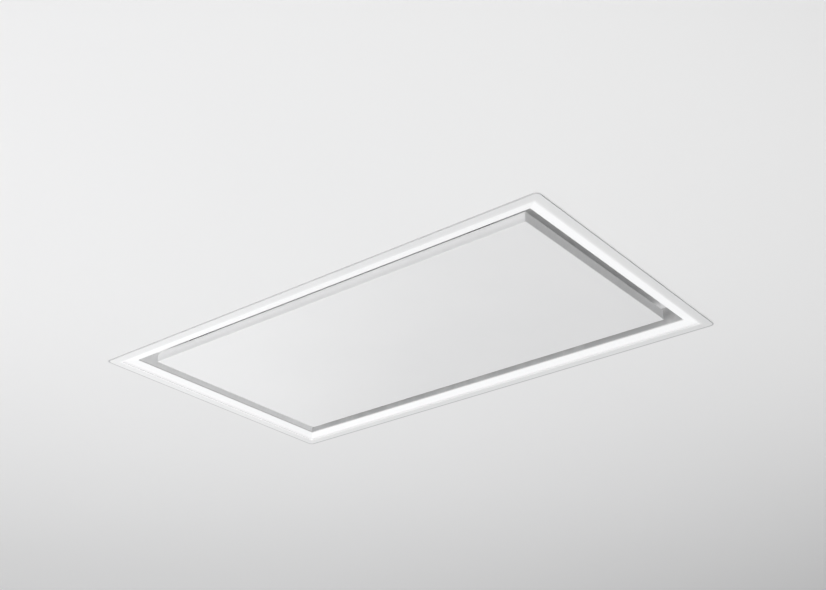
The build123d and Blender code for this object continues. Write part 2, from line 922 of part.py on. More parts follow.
def outlet_adapter():
    """Sheet transition from the scroll's square mouth to the round spigot."""
    mouth_y = blower_y + (tongue_y + scroll_floor) / 2
    mouth_z = (scroll_top + scroll_bottom) / 2
    width = tongue_y - scroll_floor

    def body(grow, start, end):
        mouth = Plane((start, mouth_y, mouth_z), x_dir=(0, 1, 0), z_dir=(1, 0, 0)) * RectangleRounded(
            width + 2 * grow, scroll_height + 2 * grow, adapter_corner + grow
        )
        throat = Plane((end, 0, spigot_height), x_dir=(0, 1, 0), z_dir=(1, 0, 0)) * Circle(
            spigot_radius - 2 * spigot_wall + grow
        )
        return loft([mouth, throat])

    start = scroll_outlet_x + seat_gap
    end = box_x - sheet
    return body(sheet, start, end) - body(0, start, end)


def duct_spigot():
    """Round spigot with a square flange on the motor box, which carries the flap axle."""
    start = spigot_x - sheet
    flange_end = start + spigot_flange_thickness
    flange = Plane((start, 0, spigot_height), x_dir=(0, 1, 0), z_dir=(1, 0, 0)) * RectangleRounded(
        spigot_flange_length, spigot_flange_height, spigot_flange_corner
    )
    body = extrude(flange, amount=spigot_flange_thickness)
    body += cross_rod(start, flange_end + spigot_length, 0, spigot_height, spigot_radius)
    body -= cross_rod(
        start, flange_end + spigot_length, 0, spigot_height, spigot_radius - spigot_wall
    )
    axle_hole = flap_axle_radius + pin_clearance
    reach = spigot_radius + sheet
    return body - rod(flap_x, 0, spigot_height - reach, spigot_height + reach, axle_hole)


def flap_axle():
    """Upright pin across the spigot that both flaps swing on."""
    reach = spigot_radius
    return rod(flap_x, 0, spigot_height - reach, spigot_height + reach, flap_axle_radius)


def damper_flap(side):
    """Half-round flap on the common axle; its knuckles alternate with the other flap's."""
    radius = spigot_radius - spigot_wall - flap_gap
    height = 2 * (radius - flap_end_margin)
    pitch = height / flap_knuckle_count
    plate_start = flap_knuckle_radius + flap_knuckle_gap
    disc = cross_rod(flap_x - flap_thickness / 2, flap_x + flap_thickness / 2, 0, spigot_height, radius)
    keep = block(flap_x - 1, flap_x + 1, side * plate_start, side * 2 * radius,
                 spigot_height - radius, spigot_height + radius)
    flap = disc & keep
    for index in range(flap_knuckle_count):
        if index % 2 == (0 if side > 0 else 1):
            low = spigot_height - height / 2 + index * pitch + flap_knuckle_gap / 2
            high = low + pitch - flap_knuckle_gap
            knuckle = rod(flap_x, 0, low, high, flap_knuckle_radius)
            web = block(flap_x - flap_thickness / 2, flap_x + flap_thickness / 2,
                        0, side * (plate_start + 1), low, high)
            flap += [knuckle, web]
    bore = rod(flap_x, 0, spigot_height - radius, spigot_height + radius, flap_axle_radius + pin_clearance)
    return flap - bore


# ---------------------------------------------------------------- electrical compartment

def gland_height():
    """Height of the cable gland's centre."""
    return housing_height - gland_drop


def box_corner():
    """Left end, front and top of the electrical box inside the motor box."""
    return (-box_x + sheet, box_y - box_width / 2, housing_height - sheet)


def electrical_box():
    """Open sheet box that hangs under the lid, beside the blower."""
    x0, y0, top = box_corner()
    x1 = x0 + box_length
    y1 = y0 + box_width
    low = top - box_height
    body = block(x0, x1, y0, y1, low, top)
    body -= block(x0 + sheet, x1 - sheet, y0 + sheet, y1 - sheet, low, top - sheet)
    return body - cross_rod(x0 - sheet, x0 + 2 * sheet, box_y, gland_height(), gland_hole_radius)


def electrical_cover():
    """Cover under the electrical box, with a shallow fold all round."""
    x0, y0, top = box_corner()
    low = top - box_height
    centre = Pos(x0 + box_length / 2, y0 + box_width / 2, 0)
    fold_x = box_length / 2 - sheet - seat_gap
    fold_y = box_width / 2 - sheet - seat_gap
    plate = slab(box_length / 2, box_width / 2, low - sheet, low)
    return centre * (plate + ring(fold_x, fold_y, sheet, low, low + cover_fold))


def control_board():
    """Circuit board with transformer, relays and capacitors, on four short feet."""
    x0, y0, top = box_corner()
    roof = top - sheet
    high = roof - board_standoff
    low = high - board_thickness
    half_x_board = board_width / 2
    half_y_board = board_length / 2
    centre = Pos(x0 + box_length - board_end_gap - half_x_board, box_y, 0)
    inset = board_foot_inset
    column = inset - half_x_board
    parts = []
    start = inset - half_y_board
    core = block(0, transformer_size, 0, transformer_size, low - transformer_height, low)
    parts.append(Pos(column, start, 0) * core)
    start += transformer_size + inset
    for index in range(relay_count):
        relay = block(0, relay_length, 0, relay_width, low - relay_height, low)
        parts.append(Pos(column, start + index * relay_pitch, 0) * relay)
    for index in range(2):
        y = start + index * 3 * capacitor_radius
        parts.append(rod(half_x_board / 2, y, low - capacitor_height, low, capacitor_radius))
    for x in (inset - half_x_board, half_x_board - inset):
        for y in (inset - half_y_board, half_y_board - inset):
            parts.append(rod(x, y, high, roof, board_foot_radius))
    return centre * (slab(half_x_board, half_y_board, low, high) + parts)


def led_driver():
    """Sealed supply for the light strips."""
    x0, y0, top = box_corner()
    roof = top - sheet
    start = x0 + terminal_gap + terminal_width + supply_gap
    half = supply_length / 2
    body = block(start, start + supply_width, box_y - half, box_y + half, roof - supply_height, roof)
    return chamfer(body.faces().sort_by(Axis.Z)[0].edges(), supply_chamfer)


def terminal_block():
    """Screw terminals for the mains lead."""
    x0, y0, top = box_corner()
    roof = top - sheet
    x = x0 + terminal_gap + terminal_width / 2
    start = y0 + supply_gap
    end = start + terminal_count * terminal_pitch
    low = roof - terminal_height
    body = block(x - terminal_width / 2, x + terminal_width / 2, start, end, low, roof)
    for index in range(terminal_count):
        y = start + (index + 0.5) * terminal_pitch
        body -= rod(x, y, low - 1, low + terminal_well_depth, terminal_well_radius)
    return body


def cable_gland():
    """Plastic gland in the wall of the motor box, empty, with a nut inside."""
    z = gland_height()
    wall_out = -box_x
    wall_in = box_corner()[0] + sheet
    body = cross_rod(
        wall_out - gland_outside, wall_in + gland_inside, box_y, z, gland_hole_radius - pin_clearance
    )
    body += cross_rod(wall_out - gland_outside, wall_out - gland_nut_height, box_y, z, gland_dome_radius)
    nut_face = RegularPolygon(gland_nut_radius, 6)
    outer_nut = Plane((wall_out, box_y, z), x_dir=(0, 1, 0), z_dir=(-1, 0, 0)) * nut_face
    inner_nut = Plane((wall_in, box_y, z), x_dir=(0, 1, 0), z_dir=(1, 0, 0)) * nut_face
    body += extrude(outer_nut, amount=gland_nut_height)
    body += extrude(inner_nut, amount=gland_nut_height)
    return body - cross_rod(
        wall_out - 2 * gland_outside, wall_in + 2 * gland_inside, box_y, z, gland_bore_radius
    )


# ---------------------------------------------------------------- all nodes

def build_nodes():
    """Every separate piece by the name of its node."""
    nodes = {"ceiling_rim": ceiling_rim(), "light_tray": light_tray()}
    for side in SIDES:
        nodes["light_diffuser_" + side] = light_diffuser(side)
        nodes["led_strip_" + side] = led_strip(side)
    nodes["slot_wall"] = slot_wall()
    nodes["plenum"] = plenum()
    nodes["motor_box"] = motor_box()
    nodes["housing_lid"] = housing_lid()
    nodes["side_screws"] = side_screws()
    nodes["filter_frame"] = filter_frame()
    for index in range(filter_count):
        number = str(index + 1)
        nodes["filter_rim_" + number] = filter_rim(index)
        nodes["filter_mesh_" + number] = filter_mesh(index)
        nodes["filter_latch_" + number] = filter_latch(index)
    nodes["panel_skin"] = panel_skin()
    nodes["panel_liner"] = panel_liner()
    for name, side in (("left", -1), ("right", 1)):
        nodes["hanging_rail_" + name] = hanging_rail(side)
        nodes["hinge_bracket_" + name] = hinge_bracket(side)
        nodes["hinge_arm_" + name] = hinge_arm(side)
        nodes["hinge_pin_" + name] = hinge_pin(side)
        nodes["catch_magnet_" + name] = catch_magnet(side)
        nodes["strike_plate_" + name] = strike_plate(side)
    nodes["blower_scroll"] = blower_scroll()
    nodes["blower_inlet_plate"] = inlet_plate()
    nodes["blower_motor_plate"] = motor_plate()
    nodes["rubber_mounts"] = rubber_mounts()
    nodes["blower_wheel"] = blower_wheel()
    nodes["motor"] = motor()
    nodes["motor_shaft"] = motor_shaft()
    nodes["outlet_adapter"] = outlet_adapter()
    nodes["duct_spigot"] = duct_spigot()
    nodes["flap_axle"] = flap_axle()
    nodes["damper_flap_back"] = damper_flap(1)
    nodes["damper_flap_front"] = damper_flap(-1)
    nodes["electrical_box"] = electrical_box()
    nodes["electrical_cover"] = electrical_cover()
    nodes["control_board"] = control_board()
    nodes["led_driver"] = led_driver()
    nodes["terminal_block"] = terminal_block()
    nodes["cable_gland"] = cable_gland()
    return nodes


os.makedirs("parts", exist_ok=True)
for node, shape in build_nodes().items():
    export_step(shape, "parts/" + node + ".step")
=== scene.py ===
# %% [markdown]
# Ceiling range hood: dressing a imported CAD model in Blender.
# The hood hangs in the void over a suspended ceiling. From the room only its white rim, a lit strip, a
# dark suction slot and a flat white panel show. Everything else is sheet metal above the ceiling. The CAD
# model already has every solid in the right place, so this lesson loads it as a fixed frame, gives each
# piece its finish, and models in finer detail what a solid model leaves plain.

# %% Load the frame
import json
from math import cos, pi, radians, sin

import bmesh
import bpy
from mathutils import Matrix, Vector


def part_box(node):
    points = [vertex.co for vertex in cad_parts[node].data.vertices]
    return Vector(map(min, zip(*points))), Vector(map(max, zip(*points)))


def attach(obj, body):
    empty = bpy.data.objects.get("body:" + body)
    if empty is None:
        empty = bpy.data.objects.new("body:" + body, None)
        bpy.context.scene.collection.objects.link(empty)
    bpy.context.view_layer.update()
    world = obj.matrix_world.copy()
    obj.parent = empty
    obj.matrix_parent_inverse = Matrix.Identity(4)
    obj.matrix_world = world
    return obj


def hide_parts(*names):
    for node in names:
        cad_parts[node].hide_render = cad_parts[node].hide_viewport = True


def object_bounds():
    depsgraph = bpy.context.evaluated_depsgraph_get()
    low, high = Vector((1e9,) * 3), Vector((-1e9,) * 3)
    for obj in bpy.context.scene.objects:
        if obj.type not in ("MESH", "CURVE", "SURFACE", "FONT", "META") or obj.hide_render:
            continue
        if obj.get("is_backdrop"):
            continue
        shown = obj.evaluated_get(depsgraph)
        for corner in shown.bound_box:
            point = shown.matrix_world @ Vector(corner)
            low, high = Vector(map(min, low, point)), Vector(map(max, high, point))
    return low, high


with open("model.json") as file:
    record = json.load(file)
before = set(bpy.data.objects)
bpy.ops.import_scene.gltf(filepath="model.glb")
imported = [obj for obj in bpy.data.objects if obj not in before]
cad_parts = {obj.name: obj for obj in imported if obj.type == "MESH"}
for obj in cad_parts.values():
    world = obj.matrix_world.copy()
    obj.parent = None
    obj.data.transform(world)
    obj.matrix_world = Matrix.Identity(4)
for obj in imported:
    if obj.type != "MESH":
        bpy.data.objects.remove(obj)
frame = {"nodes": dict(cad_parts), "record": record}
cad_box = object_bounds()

MM = 0.001
NODES = frame["nodes"]
print("size in metres:", [round(v, 4) for v in cad_box[1] - cad_box[0]])

# %% [markdown]
# The camera stands below the ceiling and looks up. It could be turned by hand until the picture fits, but
# the four corners of the rim and of the lit strip give its place and lens by calculation, once the hood's
# real size is settled. So it needs no shift and no roll.

# %% Camera
CAMERA_PLACE = Vector((1.6421, -2.0241, -1.2178))
CAMERA_AIM = Vector((-0.55354, 0.69606, 0.45715))
FOCAL_LENGTH = 55.21

lens = bpy.data.cameras.new("room_camera")
lens.sensor_width = 36.0
lens.lens = FOCAL_LENGTH
lens.clip_start = 0.02
lens.clip_end = 200.0
camera = bpy.data.objects.new("room_camera", lens)
bpy.context.scene.collection.objects.link(camera)
camera.location = CAMERA_PLACE
camera.rotation_mode = "QUATERNION"
camera.rotation_quaternion = CAMERA_AIM.to_track_quat("-Z", "Y")
bpy.context.scene.camera = camera
bpy.context.scene.view_settings.view_transform = "Standard"
print("camera at", [round(v, 3) for v in camera.location], "with a lens of", FOCAL_LENGTH, "mm")

# %% [markdown]
# Shader graphs are easier to read as formulas. One small class wraps a socket, so that `1 - mask` or
# `tone * 0.2` adds the Math node that it needs, and its `node` method makes any other node.

# %% A socket that does maths


class Signal:
    """A socket of a node tree, for writing shader maths as Python."""

    def __init__(self, tree, socket=None):
        self.tree = tree
        self.socket = socket

    def node(self, kind, settings=None, inputs=None, output=0):
        """Make a node: its settings first, then the values or links of its sockets."""
        made = self.tree.nodes.new(kind)
        for name, value in (settings or {}).items():
            setattr(made, name, value)
        for name, value in (inputs or {}).items():
            if isinstance(value, Signal):
                self.tree.links.new(value.socket, made.inputs[name])
            else:
                made.inputs[name].default_value = value
        return Signal(self.tree, made.outputs[output])

    def maths(self, operation, *values):
        return self.node("ShaderNodeMath", {"operation": operation}, dict(enumerate(values)))

    def __add__(self, other):
        return self.maths("ADD", self, other)

    __radd__ = __add__

    def __sub__(self, other):
        return self.maths("SUBTRACT", self, other)

    def __rsub__(self, other):
        return self.maths("SUBTRACT", other, self)

    def __mul__(self, other):
        return self.maths("MULTIPLY", self, other)

    __rmul__ = __mul__

    def __truediv__(self, other):
        return self.maths("DIVIDE", self, other)

    def __lt__(self, other):
        return self.maths("LESS_THAN", self, other)

    def __gt__(self, other):
        return self.maths("GREATER_THAN", self, other)

    def __abs__(self):
        return self.maths("ABSOLUTE", self)

    def root(self):
        return self.maths("SQRT", self)

    def fraction(self):
        return self.maths("FRACT", self)

    def smallest(self, other):
        return self.maths("MINIMUM", self, other)

    def largest(self, other):
        return self.maths("MAXIMUM", self, other)

    def rise(self, start, end):
        """0 below start and 1 above end, with a soft ramp between."""
        inputs = {"Value": self, "From Min": start, "From Max": end}
        return self.node("ShaderNodeMapRange", {"interpolation_type": "SMOOTHSTEP"}, inputs)

    def blend(self, low, high):
        """A colour between two others, mixed by this signal."""
        low = low if isinstance(low, Signal) else (*low, 1.0)
        high = high if isinstance(high, Signal) else (*high, 1.0)
        return self.node("ShaderNodeMix", {"data_type": "RGBA"}, {0: self, 6: low, 7: high}, 2)


print("Signal is ready")

# %% [markdown]
# Every finish starts the same way: a material with one Principled shader, and the place on the object in
# metres to hang a pattern on, whole and as three separate axes. `Finish` holds them, and has the patterns
# that sheet metal, paint and plastic share: cloudy noise, cells, and noise drawn out in one direction as
# rolling or brushing leaves it. Every finish goes into one list under the name of its slot, so that a
# piece can ask for it by that name.

# %% A finish to build on
FINISHES = {}


class Finish:
    """A material with one Principled shader, and the patterns that feed it."""

    def __init__(self, name, roughness=0.5, metallic=0.0, specular=0.5, coat=0.0):
        self.material = bpy.data.materials.new(name)
        self.material.use_nodes = True
        self.tree = self.material.node_tree
        self.shader = self.tree.nodes["Principled BSDF"]
        self.start = Signal(self.tree)
        self.place = self.start.node("ShaderNodeTexCoord", output=3)
        split = self.start.node("ShaderNodeSeparateXYZ", {}, {0: self.place}).socket.node
        self.x, self.y, self.z = (Signal(self.tree, axis) for axis in split.outputs)
        self.set("Roughness", roughness)
        self.set("Metallic", metallic)
        self.set("Specular IOR Level", specular)
        self.set("Coat Weight", coat)
        FINISHES[name] = self.material

    def set(self, socket, value):
        if isinstance(value, Signal):
            self.tree.links.new(value.socket, self.shader.inputs[socket])
        else:
            self.shader.inputs[socket].default_value = value

    def stretched(self, size):
        """The place, squeezed so that one pattern cell measures size in metres along X, Y and Z."""
        inputs = {"Vector": self.place, "Scale": [1.0 / s for s in size]}
        return self.start.node("ShaderNodeMapping", {"vector_type": "POINT"}, inputs)

    def clouds(self, size, detail=3.0):
        """Cloudy noise, with patches of about size in metres."""
        inputs = {"Vector": self.place, "Scale": 1.0 / size, "Detail": detail, "Roughness": 0.55}
        return self.start.node("ShaderNodeTexNoise", {}, inputs)

    def streaks(self, size, detail=2.0):
        """Noise drawn out along the largest of three sizes in metres."""
        inputs = {"Vector": self.stretched(size), "Scale": 1.0, "Detail": detail, "Roughness": 0.6}
        return self.start.node("ShaderNodeTexNoise", {}, inputs)

    def cells(self, size, feature="F1"):
        """The distance to the nearest cell's centre."""
        inputs = {"Vector": self.place, "Scale": 1.0 / size}
        return self.start.node("ShaderNodeTexVoronoi", {"feature": feature}, inputs)

    def cell_tones(self, size):
        """One random tone for each cell."""
        inputs = {"Vector": self.place, "Scale": 1.0 / size}
        colour = self.start.node("ShaderNodeTexVoronoi", {"feature": "F1"}, inputs, 1)
        return self.start.node("ShaderNodeSeparateColor", {}, {0: colour})

    def bump(self, height, strength, depth):
        """Relief from a height signal; depth is in metres."""
        inputs = {"Height": height, "Strength": strength, "Distance": depth}
        self.set("Normal", self.start.node("ShaderNodeBump", {}, inputs))

    def glow(self, colour):
        """Light that the surface gives off by itself."""
        self.set("Emission Color", colour)
        self.set("Emission Strength", 1.0)


print("Finish is ready")

# %% [markdown]
# White enamel: the rim and the panel are folded steel with a powder coat. Powder melts into a skin with a
# very fine orange-peel relief and a satin shine, and its white is never quite even over a metre. The rim's
# cut edge is painted grey, as a painted shade line round the rim. Beside the light strips the paint gets a
# painted glow that stands in for their bounced light: on the rim's inner border, most on its left lip, and
# on the panel's upright side that faces the room's near end. All of this is placed by the distance to a
# rounded rectangle, which the corner radius and a few maximums give.

# %% White enamel
BLACK = (0.0, 0.0, 0.0)
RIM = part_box("ceiling_rim")[1]
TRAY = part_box("light_tray")[1]
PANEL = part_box("panel_skin")[1]
PANEL_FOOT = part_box("panel_skin")[0].z
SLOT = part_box("filter_frame")[1]


def outside(finish, half_x, half_y, corner=0.0, centre=(0.0, 0.0)):
    """Distance in metres outside a rounded rectangle, negative inside it."""
    across = abs(finish.x - centre[0]) - (half_x - corner)
    along = abs(finish.y - centre[1]) - (half_y - corner)
    round_x, round_y = across.largest(0.0), along.largest(0.0)
    reach = (round_x * round_x + round_y * round_y).root()
    return reach + across.largest(along).smallest(0.0) - corner


paint = Finish("white_enamel", specular=0.4)
drift = paint.clouds(0.35, 2.0)
white = drift.rise(0.35, 0.65).blend((0.815, 0.817, 0.822), (0.828, 0.829, 0.833))
# The rim's outer edge is painted grey: a painted shade line round the rim.
edge = outside(paint, RIM.x, RIM.y, 10 * MM).rise(-1.0 * MM, -0.2 * MM)
paint.set("Base Color", edge.blend(white, (0.66, 0.66, 0.67)))
peel = paint.clouds(0.0022, 2.0)
paint.set("Roughness", 0.40 + 0.08 * paint.clouds(0.012, 3.0))
paint.bump(peel, 0.10, 0.00012)
# Painted glow: emission beside the strips stands in for their bounced light on the rim's border, most on
# the left lip, and on the panel's near upright side.
beside = outside(paint, TRAY.x, TRAY.y)
painted_glow_border = 0.65 * beside.rise(3.5 * MM, 0.2 * MM) * (beside > 0.1 * MM)
painted_glow_lip = painted_glow_border + 1.3 * (beside < 0.1 * MM) * (paint.x < 4 * MM - TRAY.x)
painted_glow_rim = (0.35 * beside.rise(9 * MM, 0.0) + painted_glow_lip) * (beside > -2.5 * MM)
side = outside(paint, PANEL.x, PANEL.y, 3 * MM)
painted_glow_side = (side > -0.3 * MM) * (side < 1 * MM) * paint.z.rise(PANEL_FOOT, PANEL.z) * (paint.y < 0.0)
painted_glow_side = painted_glow_side * (abs(paint.x) < PANEL.x - 1 * MM)
paint.glow((0.5 * painted_glow_rim + 0.6 * painted_glow_side).blend(BLACK, (0.30, 0.30, 0.30)))
print("white enamel, glowing beside the strips")

# %% [markdown]
# The slot's wall, the filter frame and the panel's back carry a thinner, duller coat. Where air has
# passed for a while it holds a trace of grey dust, in soft patches and in specks. The far wall is painted
# greyer all over, as painted shade. The strips' light that bounces about in the slot is painted in as a
# weak glow, stronger on the left wall and on the filter frame's underside.

# %% Inner paint
paint = Finish("inner_paint", specular=0.3)
patches = paint.clouds(0.05, 4.0).rise(0.42, 0.72)
specks = 1 - paint.cells(0.006).rise(0.06, 0.13)
dust = patches * 0.5 + specks * 0.18
wall_sheet = 0.6 * MM
# The far wall's darker grey is painted shade.
base_with_painted_far_shade = (paint.y > SLOT.y - wall_sheet).blend((0.80, 0.802, 0.805), (0.50, 0.501, 0.504))
paint.set("Base Color", dust.blend(base_with_painted_far_shade, (0.70, 0.70, 0.695)))
paint.set("Roughness", 0.50 + 0.18 * patches)
paint.bump(paint.clouds(0.003, 2.0), 0.12, 0.00012)
# Painted glow in the slot stands in for the strips' bounced light, stronger on the left wall and the
# filter frame's underside.
slot = outside(paint, PANEL.x, PANEL.y).rise(-40 * MM, 0.0) * (1 - paint.z.rise(48 * MM, 64 * MM))
painted_glow_by_height = 0.1 + 0.4 * paint.z.rise(30 * MM, 42 * MM)
slot = slot * painted_glow_by_height.largest(paint.x < wall_sheet - SLOT.x)
paint.glow(slot.blend(BLACK, (0.16, 0.16, 0.16)))
print("inner paint, dusty in the slot")

# %% [markdown]
# Opal acrylic over the light strips. The sheet scatters the light of the chips until it is even, but it
# stays a little dimmer along its outer edge, where the tray's lip shades it. Only what lies outside the
# slot is lit. The flank inside it stays dark.

# %% Opal acrylic
opal = Finish("opal_plastic", roughness=0.45, specular=0.35)
inwards = 0.0 - outside(opal, TRAY.x, TRAY.y)
lit = outside(opal, SLOT.x, SLOT.y) > 0.15 * MM
glow = inwards.rise(0.5 * MM, 5.5 * MM).blend((0.55, 0.55, 0.555), (0.64, 0.645, 0.65))
grain = opal.clouds(0.004, 2.0)
body = grain.blend((0.30, 0.30, 0.30), (0.315, 0.315, 0.315))
opal.set("Base Color", lit.blend((0.72, 0.72, 0.72), body))
opal.glow(lit.blend((0.05, 0.05, 0.05), glow))
opal.bump(grain, 0.05, 0.0001)
print("opal acrylic, softer over its outer edge")

# %% [markdown]
# Galvanised sheet: the housing's zinc froze in flat crystals, each with its own brightness. Cloudy noise
# would have soft edges, so cells give the crystals, and their random colour gives each one its tone and
# its shine. Two sizes of cell together look less regular than one.

# %% Galvanised steel
zinc = Finish("galvanised_steel", metallic=1.0)
crystal_size = 0.016
large, small = zinc.cell_tones(crystal_size), zinc.cell_tones(0.006)
facet = large * 0.65 + small * 0.35
zinc.set("Base Color", facet.blend((0.52, 0.54, 0.555), (0.68, 0.695, 0.71)))
zinc.set("Roughness", 0.34 + 0.18 * small + 0.08 * zinc.clouds(0.09))
zinc.bump(zinc.cells(crystal_size) + 0.3 * zinc.streaks((0.0008, 0.03, 0.0008)), 0.08, 0.0003)
print("galvanised steel")

# %% [markdown]
# Rails and hinges are zinc plated after bending. Plating is even and dull, with a faint warm and cool
# cast where the passivation is thicker, and fine tool lines from the press. Screws and shafts are bright,
# with turning lines. Both need only clouds and streaks, because the pieces are small.

# %% Plated and bright steel
zinc = Finish("zinc_steel", metallic=1.0)
cast = zinc.clouds(0.03, 3.0).rise(0.3, 0.7)
zinc.set("Base Color", cast.blend((0.62, 0.64, 0.67), (0.70, 0.69, 0.65)))
zinc.set("Roughness", 0.38 + 0.14 * zinc.clouds(0.008))
zinc.bump(zinc.streaks((0.0006, 0.02, 0.0006)), 0.10, 0.0002)

steel = Finish("bright_steel", metallic=1.0)
lines = steel.streaks((0.0004, 0.006, 0.0004), 3.0)
steel.set("Base Color", lines.blend((0.60, 0.60, 0.61), (0.76, 0.76, 0.77)))
steel.set("Roughness", 0.24 + 0.14 * lines)
steel.bump(lines, 0.08, 0.0001)
print("plated and bright steel")

# %% [markdown]
# The filters' channel and the flaps are rolled aluminium, so their grain runs along the sheet. One noise
# drawn out along the grain does for any size of sheet. The channel's grain follows the long side, and the
# flaps' stands upright.

# %% Rolled aluminium
rolled = Finish("filter_aluminium", metallic=1.0)
lines = rolled.streaks((0.0007, 0.06, 0.0007), 3.0)
rolled.set("Base Color", lines.blend((0.70, 0.71, 0.72), (0.82, 0.825, 0.83)))
rolled.set("Roughness", 0.26 + 0.14 * lines)
rolled.bump(lines, 0.08, 0.00015)

rolled = Finish("flap_aluminium", metallic=1.0)
lines = rolled.streaks((0.0007, 0.0007, 0.05), 3.0)
rolled.set("Base Color", lines.blend((0.68, 0.69, 0.70), (0.80, 0.805, 0.81)))
rolled.set("Roughness", 0.30 + 0.14 * lines)
rolled.bump(lines, 0.06, 0.0001)
print("rolled aluminium")

# %% [markdown]
# The grease filters are packs of expanded aluminium: a sheet is slit and pulled open into diamonds.
# Cutting thousands of diamonds would cost millions of faces, so the holes are drawn by the Alpha socket.
# In one cell of the pattern the sum of the two distances from the centre is the same along a diamond, so
# a narrow band of that sum is the strand, and the rest is open.

# %% Expanded aluminium
DIAMOND_WIDTH, DIAMOND_LENGTH = 5.2 * MM, 9.0 * MM
STRAND_SHARE = 0.15


def expanded_metal(name, shift):
    """One layer of the mesh; shift moves its diamonds, so that stacked layers don't line up."""
    mesh = Finish(name, metallic=1.0)
    across = abs((mesh.x / DIAMOND_WIDTH + shift).fraction() - 0.5)
    along = abs((mesh.y / DIAMOND_LENGTH + shift).fraction() - 0.5)
    strand = abs(across + along - 0.5)
    mesh.set("Alpha", strand < STRAND_SHARE)
    wear = mesh.clouds(0.02, 3.0)
    mesh.set("Base Color", wear.blend((0.62, 0.63, 0.64), (0.80, 0.805, 0.81)))
    mesh.set("Roughness", 0.28 + 0.2 * wear)
    mesh.bump(1 - strand * 5.0, 0.5, 0.0004)


SHIFTS = {"low": 0.0, "middle": 0.31, "high": 0.67}
for word, shift in SHIFTS.items():
    expanded_metal("mesh_aluminium_" + word, shift)
FINISHES["mesh_aluminium"] = FINISHES["mesh_aluminium_low"]
print(len(SHIFTS), "layers of expanded metal")

# %% [markdown]
# Plastics differ by their mould: the dark ones are spark-eroded, which leaves a fine matt grain, and the
# pale ones are smoother. Rubber is duller still, with a grey bloom.

# %% Plastics and rubber
dark = Finish("dark_plastic", specular=0.4)
grain = dark.clouds(0.0009, 2.0)
dark.set("Base Color", dark.clouds(0.02).blend((0.038, 0.038, 0.041), (0.060, 0.060, 0.064)))
dark.set("Roughness", 0.44 + 0.14 * grain)
dark.bump(grain, 0.25, 0.0001)

pale = Finish("pale_plastic", specular=0.4)
grain = pale.clouds(0.0012, 2.0)
pale.set("Base Color", pale.clouds(0.015).blend((0.74, 0.74, 0.71), (0.82, 0.82, 0.80)))
pale.set("Roughness", 0.36 + 0.12 * grain)
pale.bump(grain, 0.12, 0.0001)

rubber = Finish("black_rubber", specular=0.25)
bloom = rubber.clouds(0.004, 4.0).rise(0.4, 0.8)
rubber.set("Base Color", bloom.blend((0.022, 0.022, 0.022), (0.065, 0.063, 0.060)))
rubber.set("Roughness", 0.70 + 0.15 * bloom)
rubber.bump(rubber.clouds(0.0015, 3.0), 0.2, 0.0002)
print("plastics and rubber")

# %% [markdown]
# The motor's can has a hammered lacquer. The light strips are white circuit boards: their chips hang 0.8
# mm below the board, so the height alone tells phosphor from solder mask, and thin lines mark the tracks.

# %% Motor lacquer and light boards
lacquer = Finish("motor_casting", specular=0.5, coat=0.3)
hammer = lacquer.cells(0.005, feature="SMOOTH_F1")
lacquer.set("Base Color", hammer.blend((0.09, 0.09, 0.095), (0.17, 0.17, 0.175)))
lacquer.set("Roughness", 0.35 + 0.15 * lacquer.clouds(0.01))
lacquer.bump(hammer, 0.3, 0.0004)

mask = Finish("led_board", roughness=0.35)
is_chip = mask.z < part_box("led_strip_right")[0].z + 0.75 * MM
from_edge = (TRAY.x - abs(mask.x)).smallest(TRAY.y - abs(mask.y))
outer_track, inner_track = (abs(from_edge - place) < 0.35 * MM for place in (9 * MM, 17 * MM))
track = outer_track.largest(inner_track)
board_white = track.blend((0.84, 0.85, 0.83), (0.70, 0.69, 0.60))
mask.set("Base Color", is_chip.blend(board_white, (0.85, 0.72, 0.22)))
mask.set("Roughness", 0.30 + 0.1 * mask.clouds(0.002))
mask.bump(track, 0.3, 0.0001)
print("motor lacquer and light boards")

# %% [markdown]
# The control board is a glass laminate with a green lacquer, through which the weave shows. It is the
# last finish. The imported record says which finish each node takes, so one loop then dresses all of the
# CAD.

# %% Board laminate, and dress the CAD
laminate = Finish("board_laminate", specular=0.5)
weave = laminate.streaks((0.0006, 0.0006, 0.01))
laminate.set("Base Color", weave.blend((0.025, 0.13, 0.065), (0.045, 0.20, 0.10)))
laminate.set("Roughness", 0.32 + 0.1 * weave)
laminate.bump(weave, 0.08, 0.0001)

SUBPARTS = frame["record"]["subparts"]
for part in SUBPARTS:
    node = NODES[part["node"]]
    node.data.materials.clear()
    node.data.materials.append(FINISHES[part["material_slot"]])
print(len(SUBPARTS), "nodes dressed in", len({part["material_slot"] for part in SUBPARTS}), "finishes")

# %% [markdown]
# New pieces start as a bmesh. These helpers put the basic shapes in one: a bevelled block and an upright
# rod. Real edges are never quite sharp, so both can round theirs. A shape that is built apart is moved in
# as a whole, and `facing` gives the place for one that doesn't stand upright.

# %% Shapes to build with


def edges_of(made):
    """The edges of what an operator has made."""
    return {edge for vert in made["verts"] for edge in vert.link_edges}


def block(bm, low, high, bevel=0.0, place=Matrix.Identity(4)):
    """A block between two corners, its edges rounded."""
    low, high = Vector(low), Vector(high)
    scale = Matrix.Diagonal((*(high - low), 1.0))
    made = bmesh.ops.create_cube(bm, size=1.0, matrix=place @ Matrix.Translation((low + high) / 2) @ scale)
    if bevel:
        bmesh.ops.bevel(bm, geom=list(edges_of(made)), offset=bevel, segments=2, profile=0.5,
                        affect="EDGES", material=-1, clamp_overlap=True)


